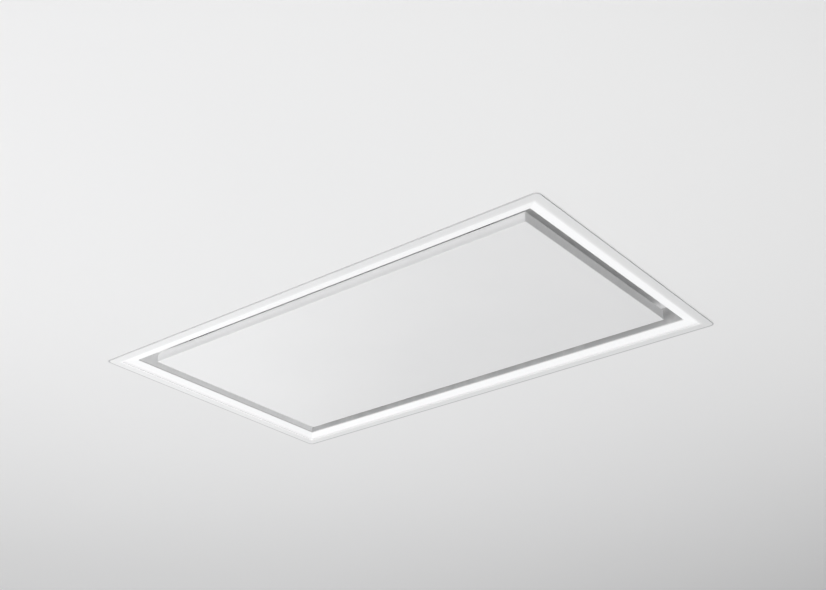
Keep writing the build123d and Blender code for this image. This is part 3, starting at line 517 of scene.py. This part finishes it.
def rod(bm, place, radius, height, sides=32, top=None, bevel=0.0):
    """A cylinder or cone that stands on the place's origin, along its Z, its upper rim rounded."""
    middle = place @ Matrix.Translation((0, 0, height / 2))
    made = bmesh.ops.create_cone(bm, cap_ends=True, segments=sides, radius1=radius,
                                 radius2=radius if top is None else top, depth=height, matrix=middle)
    if bevel:
        level = place.inverted()
        rim = [
            edge for edge in edges_of(made)
            if all(abs((level @ vert.co).z - height) < 1e-7 for vert in edge.verts)
        ]
        bmesh.ops.bevel(bm, geom=rim, offset=bevel, segments=2, profile=0.5, affect="EDGES", material=-1)


def add(bm, other, place):
    """Move a finished bmesh to its place in another one."""
    bmesh.ops.transform(other, matrix=place, verts=other.verts)
    mesh = bpy.data.meshes.new("passing")
    other.to_mesh(mesh)
    other.free()
    bm.from_mesh(mesh)
    bpy.data.meshes.remove(mesh)


def facing(direction, at):
    """A place whose Z points in a direction."""
    turn = Vector(direction).to_track_quat("Z", "X").to_matrix().to_4x4()
    return Matrix.Translation(Vector(at)) @ turn


print("blocks and rods are ready")

# %% [markdown]
# A pan head's cross recess is what tells a screw from a rivet, even from afar. Four cuts each way divide
# the head's flat top, and the faces inside the cross are extruded downwards, which gives the recess its
# walls and floor in one step. A boolean would do the same, with a far less even mesh.

# %% A cross-headed screw


def cross_screw(bm, place, radius, height):
    """A pan head with a cross recess, seated on the place's origin, along its Z."""
    head = bmesh.new()
    rod(head, Matrix.Identity(4), radius, height, 20, top=radius * 0.82, bevel=height * 0.25)
    arm, reach, depth = radius * 0.13, radius * 0.5, height * 0.6
    for axis in (Vector((1, 0, 0)), Vector((0, 1, 0))):
        for offset in (-reach, -arm, arm, reach):
            top = [f for f in head.faces if f.normal.z > 0.99]
            geom = top + [e for f in top for e in f.edges] + [v for f in top for v in f.verts]
            bmesh.ops.bisect_plane(head, geom=list(set(geom)), plane_co=axis * offset, plane_no=axis)
    recess = []
    for face in head.faces:
        centre = face.calc_center_median()
        across, along = sorted((abs(centre.x), abs(centre.y)))
        if face.normal.z > 0.99 and across < arm and along < reach:
            recess.append(face)
    sunk = bmesh.ops.extrude_face_region(head, geom=recess)
    floor_verts = [v for v in sunk["geom"] if isinstance(v, bmesh.types.BMVert)]
    bmesh.ops.translate(head, verts=floor_verts, vec=(0, 0, -depth))
    bmesh.ops.delete(head, geom=recess, context="FACES")
    add(bm, head, place)


print("the screw is ready")

# %% [markdown]
# A bmesh becomes an object by one function, so that every piece is merged, faces outwards, and is smooth
# except at its sharp edges. The same function says on which body the piece rides, whose finish it takes,
# and which solids of the CAD it stands for.

# %% From bmesh to piece


def piece(bm, name, body, slot, stands_for=(), sharp=35, finish=None):
    """Make a bmesh an object that rides on a body, with its finish and its smooth shading."""
    bmesh.ops.remove_doubles(bm, verts=bm.verts, dist=1e-7)
    bmesh.ops.recalc_face_normals(bm, faces=bm.faces)
    mesh = bpy.data.meshes.new(name)
    bm.to_mesh(mesh)
    bm.free()
    mesh.shade_smooth()
    mesh.set_sharp_from_angle(angle=radians(sharp))
    made = bpy.data.objects.new(name, mesh)
    bpy.context.scene.collection.objects.link(made)
    made.data.materials.append(FINISHES[finish or slot])
    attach(made, body)
    if stands_for:
        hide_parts(*stands_for)
    print(name, len(mesh.polygons), "faces")


print("piece is ready")

# %% [markdown]
# Twelve pan-head screws hold the filter frame, the slot wall and the plenum together. They show in the
# slot when the panel hangs open, so they get their cross recess and stand for the CAD's plain ones. Their
# places repeat the CAD's: 90 mm from the ends, two on the short sides and four on the long ones, one side
# turned round for each.

# %% Side screws
wall_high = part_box("slot_wall")[1]
frame_wall = 1.2 * MM
inset, height, shank = 90 * MM, 59 * MM, 6.8 * MM
slot_x, slot_y = wall_high.x - frame_wall, wall_high.y - frame_wall

bm = bmesh.new()
for turn, across, along, count in ((0, slot_x, slot_y, 2), (90, slot_y, slot_x, 4),
                                   (180, slot_x, slot_y, 2), (270, slot_y, slot_x, 4)):
    spin = Matrix.Rotation(radians(turn), 4, "Z")
    run = 2 * (along - inset)
    for index in range(count):
        seat = (across - frame_wall, -run / 2 + run * index / (count - 1), height)
        place = spin @ facing((-1, 0, 0), seat)
        cross_screw(bm, place, radius=4.0 * MM, height=2.4 * MM)
        rod(bm, place @ Matrix.Translation((0, 0, -shank)), radius=2.0 * MM, height=shank, sides=16)
piece(bm, "side_screw_set", "hood", "bright_steel", ["side_screws"])

# %% [markdown]
# A grease filter is a pack of expanded sheets, folded into pleats so that more of it meets the air. Each
# layer starts as a grid whose every second row of points is lifted. The pack is cut out at its front edge
# for the latch's case, which takes three bisections and the deletion of what lies between them.

# %% Mesh packs
FILTERS = (1, 2, 3, 4)
PLEATS = 9
LIFTS = {"low": -1.1 * MM, "middle": 0.0, "high": 1.1 * MM}


def inside_box(bm, centre_x, half_x, top_y):
    """The faces about one X and below one Y."""
    middles = [(face, face.calc_center_median()) for face in bm.faces]
    return [face for face, middle in middles if abs(middle.x - centre_x) < half_x and middle.y < top_y]


def pleated_layer(index, lift):
    """One pleated sheet of a filter, in the rim's groove."""
    low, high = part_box("filter_mesh_" + str(index))
    middle = (low + high) / 2
    bm = bmesh.new()
    made = bmesh.ops.create_grid(bm, x_segments=2 * PLEATS, y_segments=1, size=0.5)
    for vert in made["verts"]:
        vert.co.z = 0.5 if round((vert.co.x + 0.5) * 2 * PLEATS) % 2 else -0.5
    swing = (high.z - low.z) * 0.42
    scale = Matrix.Diagonal((high.x - low.x, high.y - low.y, swing, 1.0))
    lifted = Matrix.Translation((middle.x, middle.y, middle.z + lift))
    bmesh.ops.transform(bm, matrix=lifted @ scale, verts=bm.verts)
    case_x, case_y = 18.3 * MM, low.y + 44.0 * MM
    left, right, back = (middle.x - case_x, 0, 0), (middle.x + case_x, 0, 0), (0, case_y, 0)
    for cut, across in ((left, (1, 0, 0)), (right, (1, 0, 0)), (back, (0, 1, 0))):
        geom = bm.verts[:] + bm.edges[:] + bm.faces[:]
        bmesh.ops.bisect_plane(bm, geom=geom, plane_co=cut, plane_no=across)
    bmesh.ops.delete(bm, geom=inside_box(bm, middle.x, case_x, case_y), context="FACES")
    return bm


for index in FILTERS:
    for word, lift in LIFTS.items():
        stands_for = ["filter_mesh_" + str(index)] if word == "low" else []
        name = "mesh_" + word + "_" + str(index)
        layer = pleated_layer(index, lift)
        finish = "mesh_aluminium_" + word
        piece(layer, name, "hood", "mesh_aluminium", stands_for, sharp=10, finish=finish)

# %% [markdown]
# The latch of each filter is pushed back with a thumb. Its tab gets three grip ribs across, and its bolt
# a sloping nose, so that the filter snaps in when it is pushed up. The nose is a block's lower front edge
# moved back, which is simpler than cutting it.

# %% Filter latches
BOLT_THICKNESS, NOSE_SLOPE = 3.0 * MM, 2.0 * MM
TAB_DEPTH, TAB_HALF, RIB_HALF = 6.0 * MM, 9 * MM, 7.5 * MM

for index in FILTERS:
    low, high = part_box("filter_latch_" + str(index))
    middle = (low.x + high.x) / 2
    bolt_low = high.z - BOLT_THICKNESS
    bm = bmesh.new()
    block(bm, (low.x, low.y, bolt_low), high, 0.4 * MM)
    nose = [v for v in bm.verts if v.co.y < low.y + 0.5 * MM and v.co.z < bolt_low + 0.5 * MM]
    bmesh.ops.translate(bm, verts=nose, vec=(0, NOSE_SLOPE, 0))
    front = high.y - 2 * TAB_DEPTH
    tab_top = bolt_low + 0.2 * MM
    block(bm, (middle - TAB_HALF, front, low.z), (middle + TAB_HALF, front + TAB_DEPTH, tab_top), 0.8 * MM)
    for rib in range(3):
        y = front + (1.2 + 1.8 * rib) * MM
        start = (middle - RIB_HALF, y - 0.35 * MM, low.z)
        block(bm, start, (middle + RIB_HALF, y + 0.35 * MM, low.z + 1.5 * MM))
    stands_for = ["filter_latch_" + str(index)]
    piece(bm, "latch_bolt_" + str(index), "latch_" + str(index), "dark_plastic", stands_for)

# %% [markdown]
# The control board's transformer, relays and capacitors are separate parts on the real board, each with
# its own colour, so the one CAD solid is replaced by a board and three kinds of component. The board
# hangs on four posts with its components down, so each is a block or a rod from its underside.

# %% Control board
board_low, board_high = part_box("control_board")
post, laminate_sheet, margin = 6.0 * MM, 1.6 * MM, 6 * MM
board_top = board_high.z - post
board_bottom = board_top - laminate_sheet
bm = bmesh.new()
block(bm, (board_low.x, board_low.y, board_bottom), (board_high.x, board_high.y, board_top), 0.2 * MM)
for x in (board_low.x + margin, board_high.x - margin):
    for y in (board_low.y + margin, board_high.y - margin):
        rod(bm, Matrix.Translation((x, y, board_top)), radius=3.0 * MM, height=post, sides=20)
piece(bm, "control_board_sheet", "hood", "board_laminate", ["control_board"])

# %% Components under the board


def hang(bm, x, y, size, bevel):
    """A component's block under the board, from its lowest x and y."""
    block(bm, (x, y, board_bottom - size[2]), (x + size[0], y + size[1], board_bottom), bevel)


left, front = board_low.x + margin, board_low.y + margin
relays_start = front + 36 * MM
bm = bmesh.new()
hang(bm, left, front, (30 * MM, 30 * MM, 22 * MM), 1.0 * MM)
for fold in range(4):
    y = front + (4 + 6 * fold) * MM
    start = (left, y, board_bottom - 21.9 * MM)
    block(bm, start, (left + 30 * MM, y + 3.4 * MM, board_bottom - 21.4 * MM), 0.1 * MM)
for index in range(3):
    hang(bm, left, relays_start + 20 * MM * index, (16 * MM, 14 * MM, 15 * MM), 0.6 * MM)
piece(bm, "board_transformer_and_relays", "hood", "dark_plastic")

bm = bmesh.new()
for index in range(2):
    x = (board_low.x + board_high.x) / 2 + 25 * MM
    place = facing((0, 0, -1), (x, relays_start + 21 * MM * index, board_bottom))
    rod(bm, place, radius=7.0 * MM, height=18 * MM, bevel=0.8 * MM)
piece(bm, "board_capacitors", "hood", "flap_aluminium")

# %% [markdown]
# The cable gland is turned and moulded: a threaded body with two hexagon nuts, ribs to grip it by, and a
# rubber seal. Each round piece is a rectangle spun about the gland's axis. It is left empty, as the mains
# lead isn't part of this object. Known faults: the box's lowest X is its foot's edge, 12 mm outside the
# wall, so both nuts and the ribs stand that much too far out, and the nuts are solid, so they shut the
# gland's bore.

# %% Cable gland
gland_low, gland_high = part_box("cable_gland")
axis = Vector((0, (gland_low.y + gland_high.y) / 2, (gland_low.z + gland_high.z) / 2))
foot_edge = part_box("motor_box")[0].x
inner_nut = foot_edge + 2.4 * MM
nut_height, dome, seal, bore, thread = 6.0 * MM, 9.6 * MM, 5.6 * MM, 4.5 * MM, 7.95 * MM


def ring(bm, start, end, outer, inner, rounding=0.0):
    """A tube along X between two places, spun from a rectangle with rounded outer corners."""
    inwards = rounding if end > start else -rounding
    profile = [(start, inner), (start, outer - rounding), (start + inwards, outer),
               (end - inwards, outer), (end, outer - rounding), (end, inner)]
    verts = [bm.verts.new((x, axis.y, axis.z + r)) for x, r in profile]
    edges = [bm.edges.new((verts[i], verts[(i + 1) % len(verts)])) for i in range(len(verts))]
    bmesh.ops.spin(bm, geom=verts + edges, cent=(0, axis.y, axis.z), axis=(1, 0, 0), angle=2 * pi,
                   steps=48, use_merge=True)


bm = bmesh.new()
ring(bm, gland_low.x, foot_edge - nut_height, dome, seal, rounding=1.6 * MM)
ring(bm, foot_edge - nut_height, gland_high.x, thread, bore)
rib_low = axis + Vector((gland_low.x + 2.0 * MM, -0.45 * MM, 9.2 * MM))
rib_high = axis + Vector((foot_edge - 6.6 * MM, 0.45 * MM, dome))
for index in range(20):
    turn = Matrix.Rotation(2 * pi * index / 20, 4, "X")
    block(bm, rib_low, rib_high, place=Matrix.Translation(axis) @ turn @ Matrix.Translation(-axis))
for index in range(4):
    x = inner_nut + (6.8 + index) * MM
    ring(bm, x, x + 0.5 * MM, thread + 0.05 * MM, 7.0 * MM, rounding=0.05 * MM)
for start, direction in ((foot_edge, (-1, 0, 0)), (inner_nut, (1, 0, 0))):
    seat = facing(direction, (start, axis.y, axis.z))
    rod(bm, seat, radius=11.6 * MM, height=nut_height, sides=6, bevel=0.7 * MM)
piece(bm, "gland_body", "hood", "dark_plastic", ["cable_gland"])

bm = bmesh.new()
ring(bm, gland_low.x + 0.4 * MM, foot_edge - 7.0 * MM, seal, bore, rounding=0.4 * MM)
piece(bm, "gland_seal", "hood", "black_rubber")

# %% [markdown]
# Small fasteners finish the sheet metal: pan heads along the lid's turned-down edge, and four hexagon
# bolts with washers through the lid into the rubber mounts, at the mounts' own circle about the wheel's
# axis. They are thin, so they stay inside the hood's own outline.

# %% Lid screws and blower bolts
lid_low, lid_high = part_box("housing_lid")
box_low, box_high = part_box("motor_box")
lid_edge = box_high.z - 4.0 * MM
lid_screw = {"radius": 3.5 * MM, "height": 2.0 * MM}
bm = bmesh.new()
for side in (-1, 1):
    for x in (-300, -150, 0, 150, 300):
        cross_screw(bm, facing((0, side, 0), (x * MM, side * lid_high.y, lid_edge)), **lid_screw)
    for y in (-200, 200):
        cross_screw(bm, facing((side, 0, 0), (side * lid_high.x, y * MM, lid_edge)), **lid_screw)
piece(bm, "lid_screws", "hood", "bright_steel")

wheel_low, wheel_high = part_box("blower_wheel")
wheel = (wheel_low + wheel_high) / 2
lid_top = box_high.z + 1.2 * MM
bolt_circle = 103.74 * MM
bm = bmesh.new()
for turn in (45, 135, 200, 250):
    spoke = bolt_circle * Vector((cos(radians(turn)), sin(radians(turn)), 0))
    place = Matrix.Translation((wheel.x + spoke.x, wheel.y + spoke.y, lid_top))
    rod(bm, place, radius=8.0 * MM, height=0.6 * MM, sides=28)
    rod(bm, place, radius=4.6 * MM, height=1.95 * MM, sides=6, bevel=0.3 * MM)
piece(bm, "blower_bolts", "hood", "zinc_steel")

# %% [markdown]
# The spigot's flange is held by blind rivets: a low dome, with a pit where the mandrel broke off. A dome
# is a profile turned about its axis, so six points and one spin make it. The pit closes in its middle
# point. Known fault: the box's highest X is its foot's edge, so these rivets stand 12 mm in front of the
# flange, and six of them touch nothing.

# %% Rivets of the spigot's flange


def rivet(bm, place, radius, height):
    """A blind rivet's head: a dome with the small pit of its mandrel."""
    profile = [(0.22, 0.62), (0.30, 1.0), (0.62, 0.86), (0.90, 0.45), (1.0, 0.0)]
    verts = [bm.verts.new(place @ Vector((r * radius, 0, h * height))) for r, h in profile]
    centre = bm.verts.new(place @ Vector((0, 0, 0.62 * height)))
    points = [centre] + verts
    edges = [bm.edges.new(pair) for pair in zip(points, points[1:])]
    bmesh.ops.spin(bm, geom=points + edges, cent=place.to_translation(), axis=place.col[2].to_3d(),
                   angle=2 * pi, steps=14, use_merge=True)


flange_low, flange_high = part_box("duct_spigot")
rivet_plane = box_high.x + 1.5 * MM
middle_z = (flange_low.z + flange_high.z) / 2
bm = bmesh.new()
for y, z in ((-81, -73), (0, -77.6), (81, -73), (-81, 73), (0, 77.6), (81, 73), (-81, 0), (81, 0)):
    place = facing((1, 0, 0), (rivet_plane, y * MM, middle_z + z * MM))
    rivet(bm, place, radius=3.2 * MM, height=1.2 * MM)
piece(bm, "spigot_rivets", "hood", "flap_aluminium")

# %% [markdown]
# The housing's corners are folded sheets that lap over each other. Each lap is a narrow strip along the
# corner, held by a row of blind rivets. It stands only a sheet's thickness proud, so a thin block with
# softened edges is enough.

# %% Corner laps
foot_flange = 12 * MM
lap_width, lap_sheet = 18 * MM, 0.8 * MM
upper = box_high - Vector((foot_flange, foot_flange, 0))
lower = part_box("plenum")[1]
bm, bm_heads = bmesh.new(), bmesh.new()
for corner, foot, head, rows in ((upper, box_low.z + 2.5 * MM, lid_low.z - 1.0 * MM, 4),
                                 (lower, wall_high.z + 2.0 * MM, box_low.z - 1.5 * MM, 2)):
    for side in (-1, 1):
        for end in (-1, 1):
            across = sorted((end * (corner.x - lap_width), end * (corner.x - 0.3 * MM)))
            along = sorted((side * (corner.y - 0.1 * MM), side * (corner.y + lap_sheet)))
            block(bm, (across[0], along[0], foot), (across[1], along[1], head), 0.25 * MM)
            for row in range(rows):
                z = foot + (head - foot) * (row + 0.5) / rows
                seat = (end * (corner.x - lap_width / 2), side * (corner.y + lap_sheet), z)
                rivet(bm_heads, facing((0, side, 0), seat), radius=2.6 * MM, height=1.1 * MM)
piece(bm, "corner_laps", "hood", "galvanised_steel")
piece(bm_heads, "lap_rivets", "hood", "flap_aluminium")

# %% [markdown]
# The upper box has a turned-out foot, and a row of screws on each side ties it to the sheet below. They
# stand upright in the middle of the foot's width, 110 mm apart.

# %% Foot screws
pitch = 110 * MM
foot_top = box_low.z + 1.2 * MM
foot_middle = upper + Vector((foot_flange, foot_flange, 0)) / 2
bm = bmesh.new()
for side in (-1, 1):
    seats = [(index * pitch, side * foot_middle.y) for index in range(-3, 4)]
    seats += [(side * foot_middle.x, index * pitch) for index in range(-2, 3)]
    for x, y in seats:
        cross_screw(bm, Matrix.Translation((x, y, foot_top)), radius=3.6 * MM, height=2.0 * MM)
piece(bm, "foot_screws", "hood", "bright_steel")

# %% [markdown]
# Screws hold the hinges, strikes and catches. Those of the hinge arms and strikes ride with the panel,
# and those of the brackets and magnets stay with the hood, so they are two pieces.

# %% Screws of hinges, strikes and catches
bm_panel, bm_hood = bmesh.new(), bmesh.new()
for side in ("left", "right"):
    low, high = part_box("hinge_arm_" + side)
    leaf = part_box("strike_plate_" + side)[0].z + 2.0 * MM
    for x in (low.x + 7 * MM, high.x - 7 * MM):
        for y in (low.y + 7 * MM, low.y + 17 * MM):
            cross_screw(bm_panel, Matrix.Translation((x, y, leaf)), radius=2.6 * MM, height=1.4 * MM)
    low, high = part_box("strike_plate_" + side)
    for x in (low.x + 7 * MM, high.x - 7 * MM):
        place = Matrix.Translation((x, (low.y + high.y) / 2, high.z))
        cross_screw(bm_panel, place, radius=2.4 * MM, height=0.25 * MM)
    low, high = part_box("hinge_bracket_" + side)
    for x in (low.x + 5 * MM, high.x - 5 * MM):
        for y in (low.y + 5 * MM, high.y - 5 * MM):
            place = facing((0, 0, -1), (x, y, high.z - 2.0 * MM))
            cross_screw(bm_hood, place, radius=2.4 * MM, height=1.3 * MM)
    low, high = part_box("catch_magnet_" + side)
    for x in (low.x + 5 * MM, high.x - 5 * MM):
        place = facing((0, 0, -1), (x, (low.y + high.y) / 2, high.z - 4.0 * MM))
        cross_screw(bm_hood, place, radius=2.6 * MM, height=1.3 * MM)
piece(bm_panel, "panel_screws", "drop_down_panel", "bright_steel")
piece(bm_hood, "frame_screws", "hood", "bright_steel")

# %% [markdown]
# The hood needs its ceiling: the rim lies flat against it, and it hides the housing from the room. It is
# a plain board whose cut-out ends just under the rim, a hair below the rim's upper face so that no light
# leaks in. It is one disc, cut four times and with its middle taken out. A wide pale floor lies below.

# %% Helpers for the stage


def stage_sheet(name, radius, height, hole, material, down=False):
    """A large level disc, with or without a rectangular hole, that faces up or down."""
    bm = bmesh.new()
    bmesh.ops.create_circle(bm, cap_ends=True, segments=96, radius=radius)
    if hole:
        for across, reach in ((Vector((1, 0, 0)), hole[0]), (Vector((0, 1, 0)), hole[1])):
            for side in (-1, 1):
                geom = bm.verts[:] + bm.edges[:] + bm.faces[:]
                bmesh.ops.bisect_plane(bm, geom=geom, plane_co=across * side * reach, plane_no=across)
        middles = [(face, face.calc_center_median()) for face in bm.faces]
        inside = [face for face, at in middles if abs(at.x) < hole[0] and abs(at.y) < hole[1]]
        bmesh.ops.delete(bm, geom=inside, context="FACES")
    if down:
        bmesh.ops.reverse_faces(bm, faces=bm.faces)
    bmesh.ops.translate(bm, verts=bm.verts, vec=(0, 0, height))
    mesh = bpy.data.meshes.new(name)
    bm.to_mesh(mesh)
    bm.free()
    mesh.materials.append(material)
    made = bpy.data.objects.new(name, mesh)
    bpy.context.scene.collection.objects.link(made)
    made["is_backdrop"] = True
    return made


def mix_in(finish, share, other):
    """Let another shader take over a share of the finish."""
    own = Signal(finish.tree, finish.shader.outputs[0])
    mixed = finish.start.node("ShaderNodeMixShader", {}, {0: share, 1: own, 2: other})
    finish.tree.links.new(mixed.socket, finish.tree.nodes["Material Output"].inputs["Surface"])


print("a stage sheet can be made")

# %% [markdown]
# The ceiling is painted paler to the right, as painted light, and the rim's thin painted shadow falls to
# the far side, away from the lamps. A camera in the void above looks through the board, so that the
# housing can be looked at from every side. Light doesn't pass, because only what the camera sees of the
# board's upper face turns clear.

# %% Ceiling
plaster = Finish("ceiling_plaster", roughness=0.9, specular=0.1)
# The paler right side is painted light, with a little random cloud in the plaster's tone.
painted_light_rightwards = plaster.x.rise(0.1, 1.2) * 0.8 + 0.2 * plaster.clouds(0.8, 2.0)
plaster_and_painted_light = painted_light_rightwards.blend((0.852, 0.853, 0.857), (0.925, 0.925, 0.925))
shade_centre = (-3.0 * MM, 2.8 * MM)
shade = outside(plaster, RIM.x + 1.0 * MM, RIM.y + 2.2 * MM, 10 * MM, shade_centre).rise(4 * MM, 0.0)
plaster.set("Base Color", shade.blend(plaster_and_painted_light, (0.53, 0.53, 0.535)))
plaster.bump(plaster.clouds(0.004, 3.0), 0.05, 0.0002)
from_above = plaster.start.node("ShaderNodeNewGeometry", output=6)
by_camera = plaster.start.node("ShaderNodeLightPath")
mix_in(plaster, from_above * by_camera, plaster.start.node("ShaderNodeBsdfTransparent"))
overlap = 4 * MM
cut_out = (RIM.x - overlap, RIM.y - overlap)
stage_sheet("ceiling", 40.0, -0.05 * MM, cut_out, plaster.material, down=True)
print("ceiling with a cut-out of", [round(2 * v, 3) for v in cut_out], "m")

# %% [markdown]
# The floor far below is what a camera above the hood sees past its sides. Three quarters of what the
# camera sees of it is an even tone, so that it stays pale whatever light falls on it. It sends no soft
# light back to the hood, and only reflections see it there.

# %% Floor
ground = Finish("pale_floor", roughness=0.8, specular=0.1)
ground.set("Base Color", ground.clouds(0.6, 3.0).blend((0.80, 0.80, 0.80), (0.83, 0.83, 0.83)))
even = ground.start.node("ShaderNodeEmission", {}, {"Color": (0.80, 0.80, 0.805, 1.0), "Strength": 1.0})
mix_in(ground, ground.start.node("ShaderNodeLightPath") * 0.75, even)
floor = stage_sheet("floor", 60.0, -4.2, None, ground.material)
floor.visible_diffuse = False
print("floor")

# %% [markdown]
# The light is soft and level: a white world, and three large lamps in the room below, at the far left, at
# the near end and under the hood. The panel fades gently to the right, away from the first. The world
# gives less light than the camera and the reflections see of it. A fourth lamp, in the void above, gives
# the housing some shape.

# %% World and lamps
world = bpy.data.worlds.new("studio")
bpy.context.scene.world = world
world.use_nodes = True
sky = world.node_tree.nodes["Background"]
sky.inputs["Color"].default_value = (1.0, 1.0, 1.0, 1.0)
by_camera = Signal(world.node_tree).node("ShaderNodeLightPath")
by_gloss = Signal(world.node_tree, by_camera.socket.node.outputs["Is Glossy Ray"])
strength = 0.30 + 0.52 * by_camera.largest(by_gloss)
world.node_tree.links.new(strength.socket, sky.inputs["Strength"])


def soft_lamp(name, at, towards, size, power):
    """A square area lamp that looks at a point."""
    data = bpy.data.lights.new(name, "AREA")
    data.shape = "SQUARE"
    data.size = size
    data.energy = power
    lamp = bpy.data.objects.new(name, data)
    bpy.context.scene.collection.objects.link(lamp)
    lamp.location = at
    lamp.rotation_mode = "QUATERNION"
    lamp.rotation_quaternion = (Vector(towards) - Vector(at)).to_track_quat("-Z", "Y")
    lamp.visible_camera = False
    print(name, "lamp", power, "W")


soft_lamp("far_left", at=(-5.2, 3.2, -2.6), towards=(0, 0, 0), size=3.0, power=64.0)
soft_lamp("near", at=(-1.1, -4.1, -2.4), towards=(0, 0, 0), size=2.4, power=101.0)
soft_lamp("below", at=(0.2, -0.2, -3.0), towards=(0, 0, 0), size=2.5, power=42.0)
soft_lamp("above", at=(-3.6, -2.0, 3.4), towards=(0, 0, 0.1), size=6.0, power=150.0)

# %% [markdown]
# The dressed object must not be larger than the CAD model. Both boxes are compared, and how far the
# dressed one reaches past the CAD's is printed.

# %% Check and finish
dressed_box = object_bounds()
above = [round(max(a - b, 0.0) / MM, 3) for a, b in zip(dressed_box[1], cad_box[1])]
below = [round(max(b - a, 0.0) / MM, 3) for a, b in zip(dressed_box[0], cad_box[0])]
print("grown by", above, "mm above and", below, "mm below")
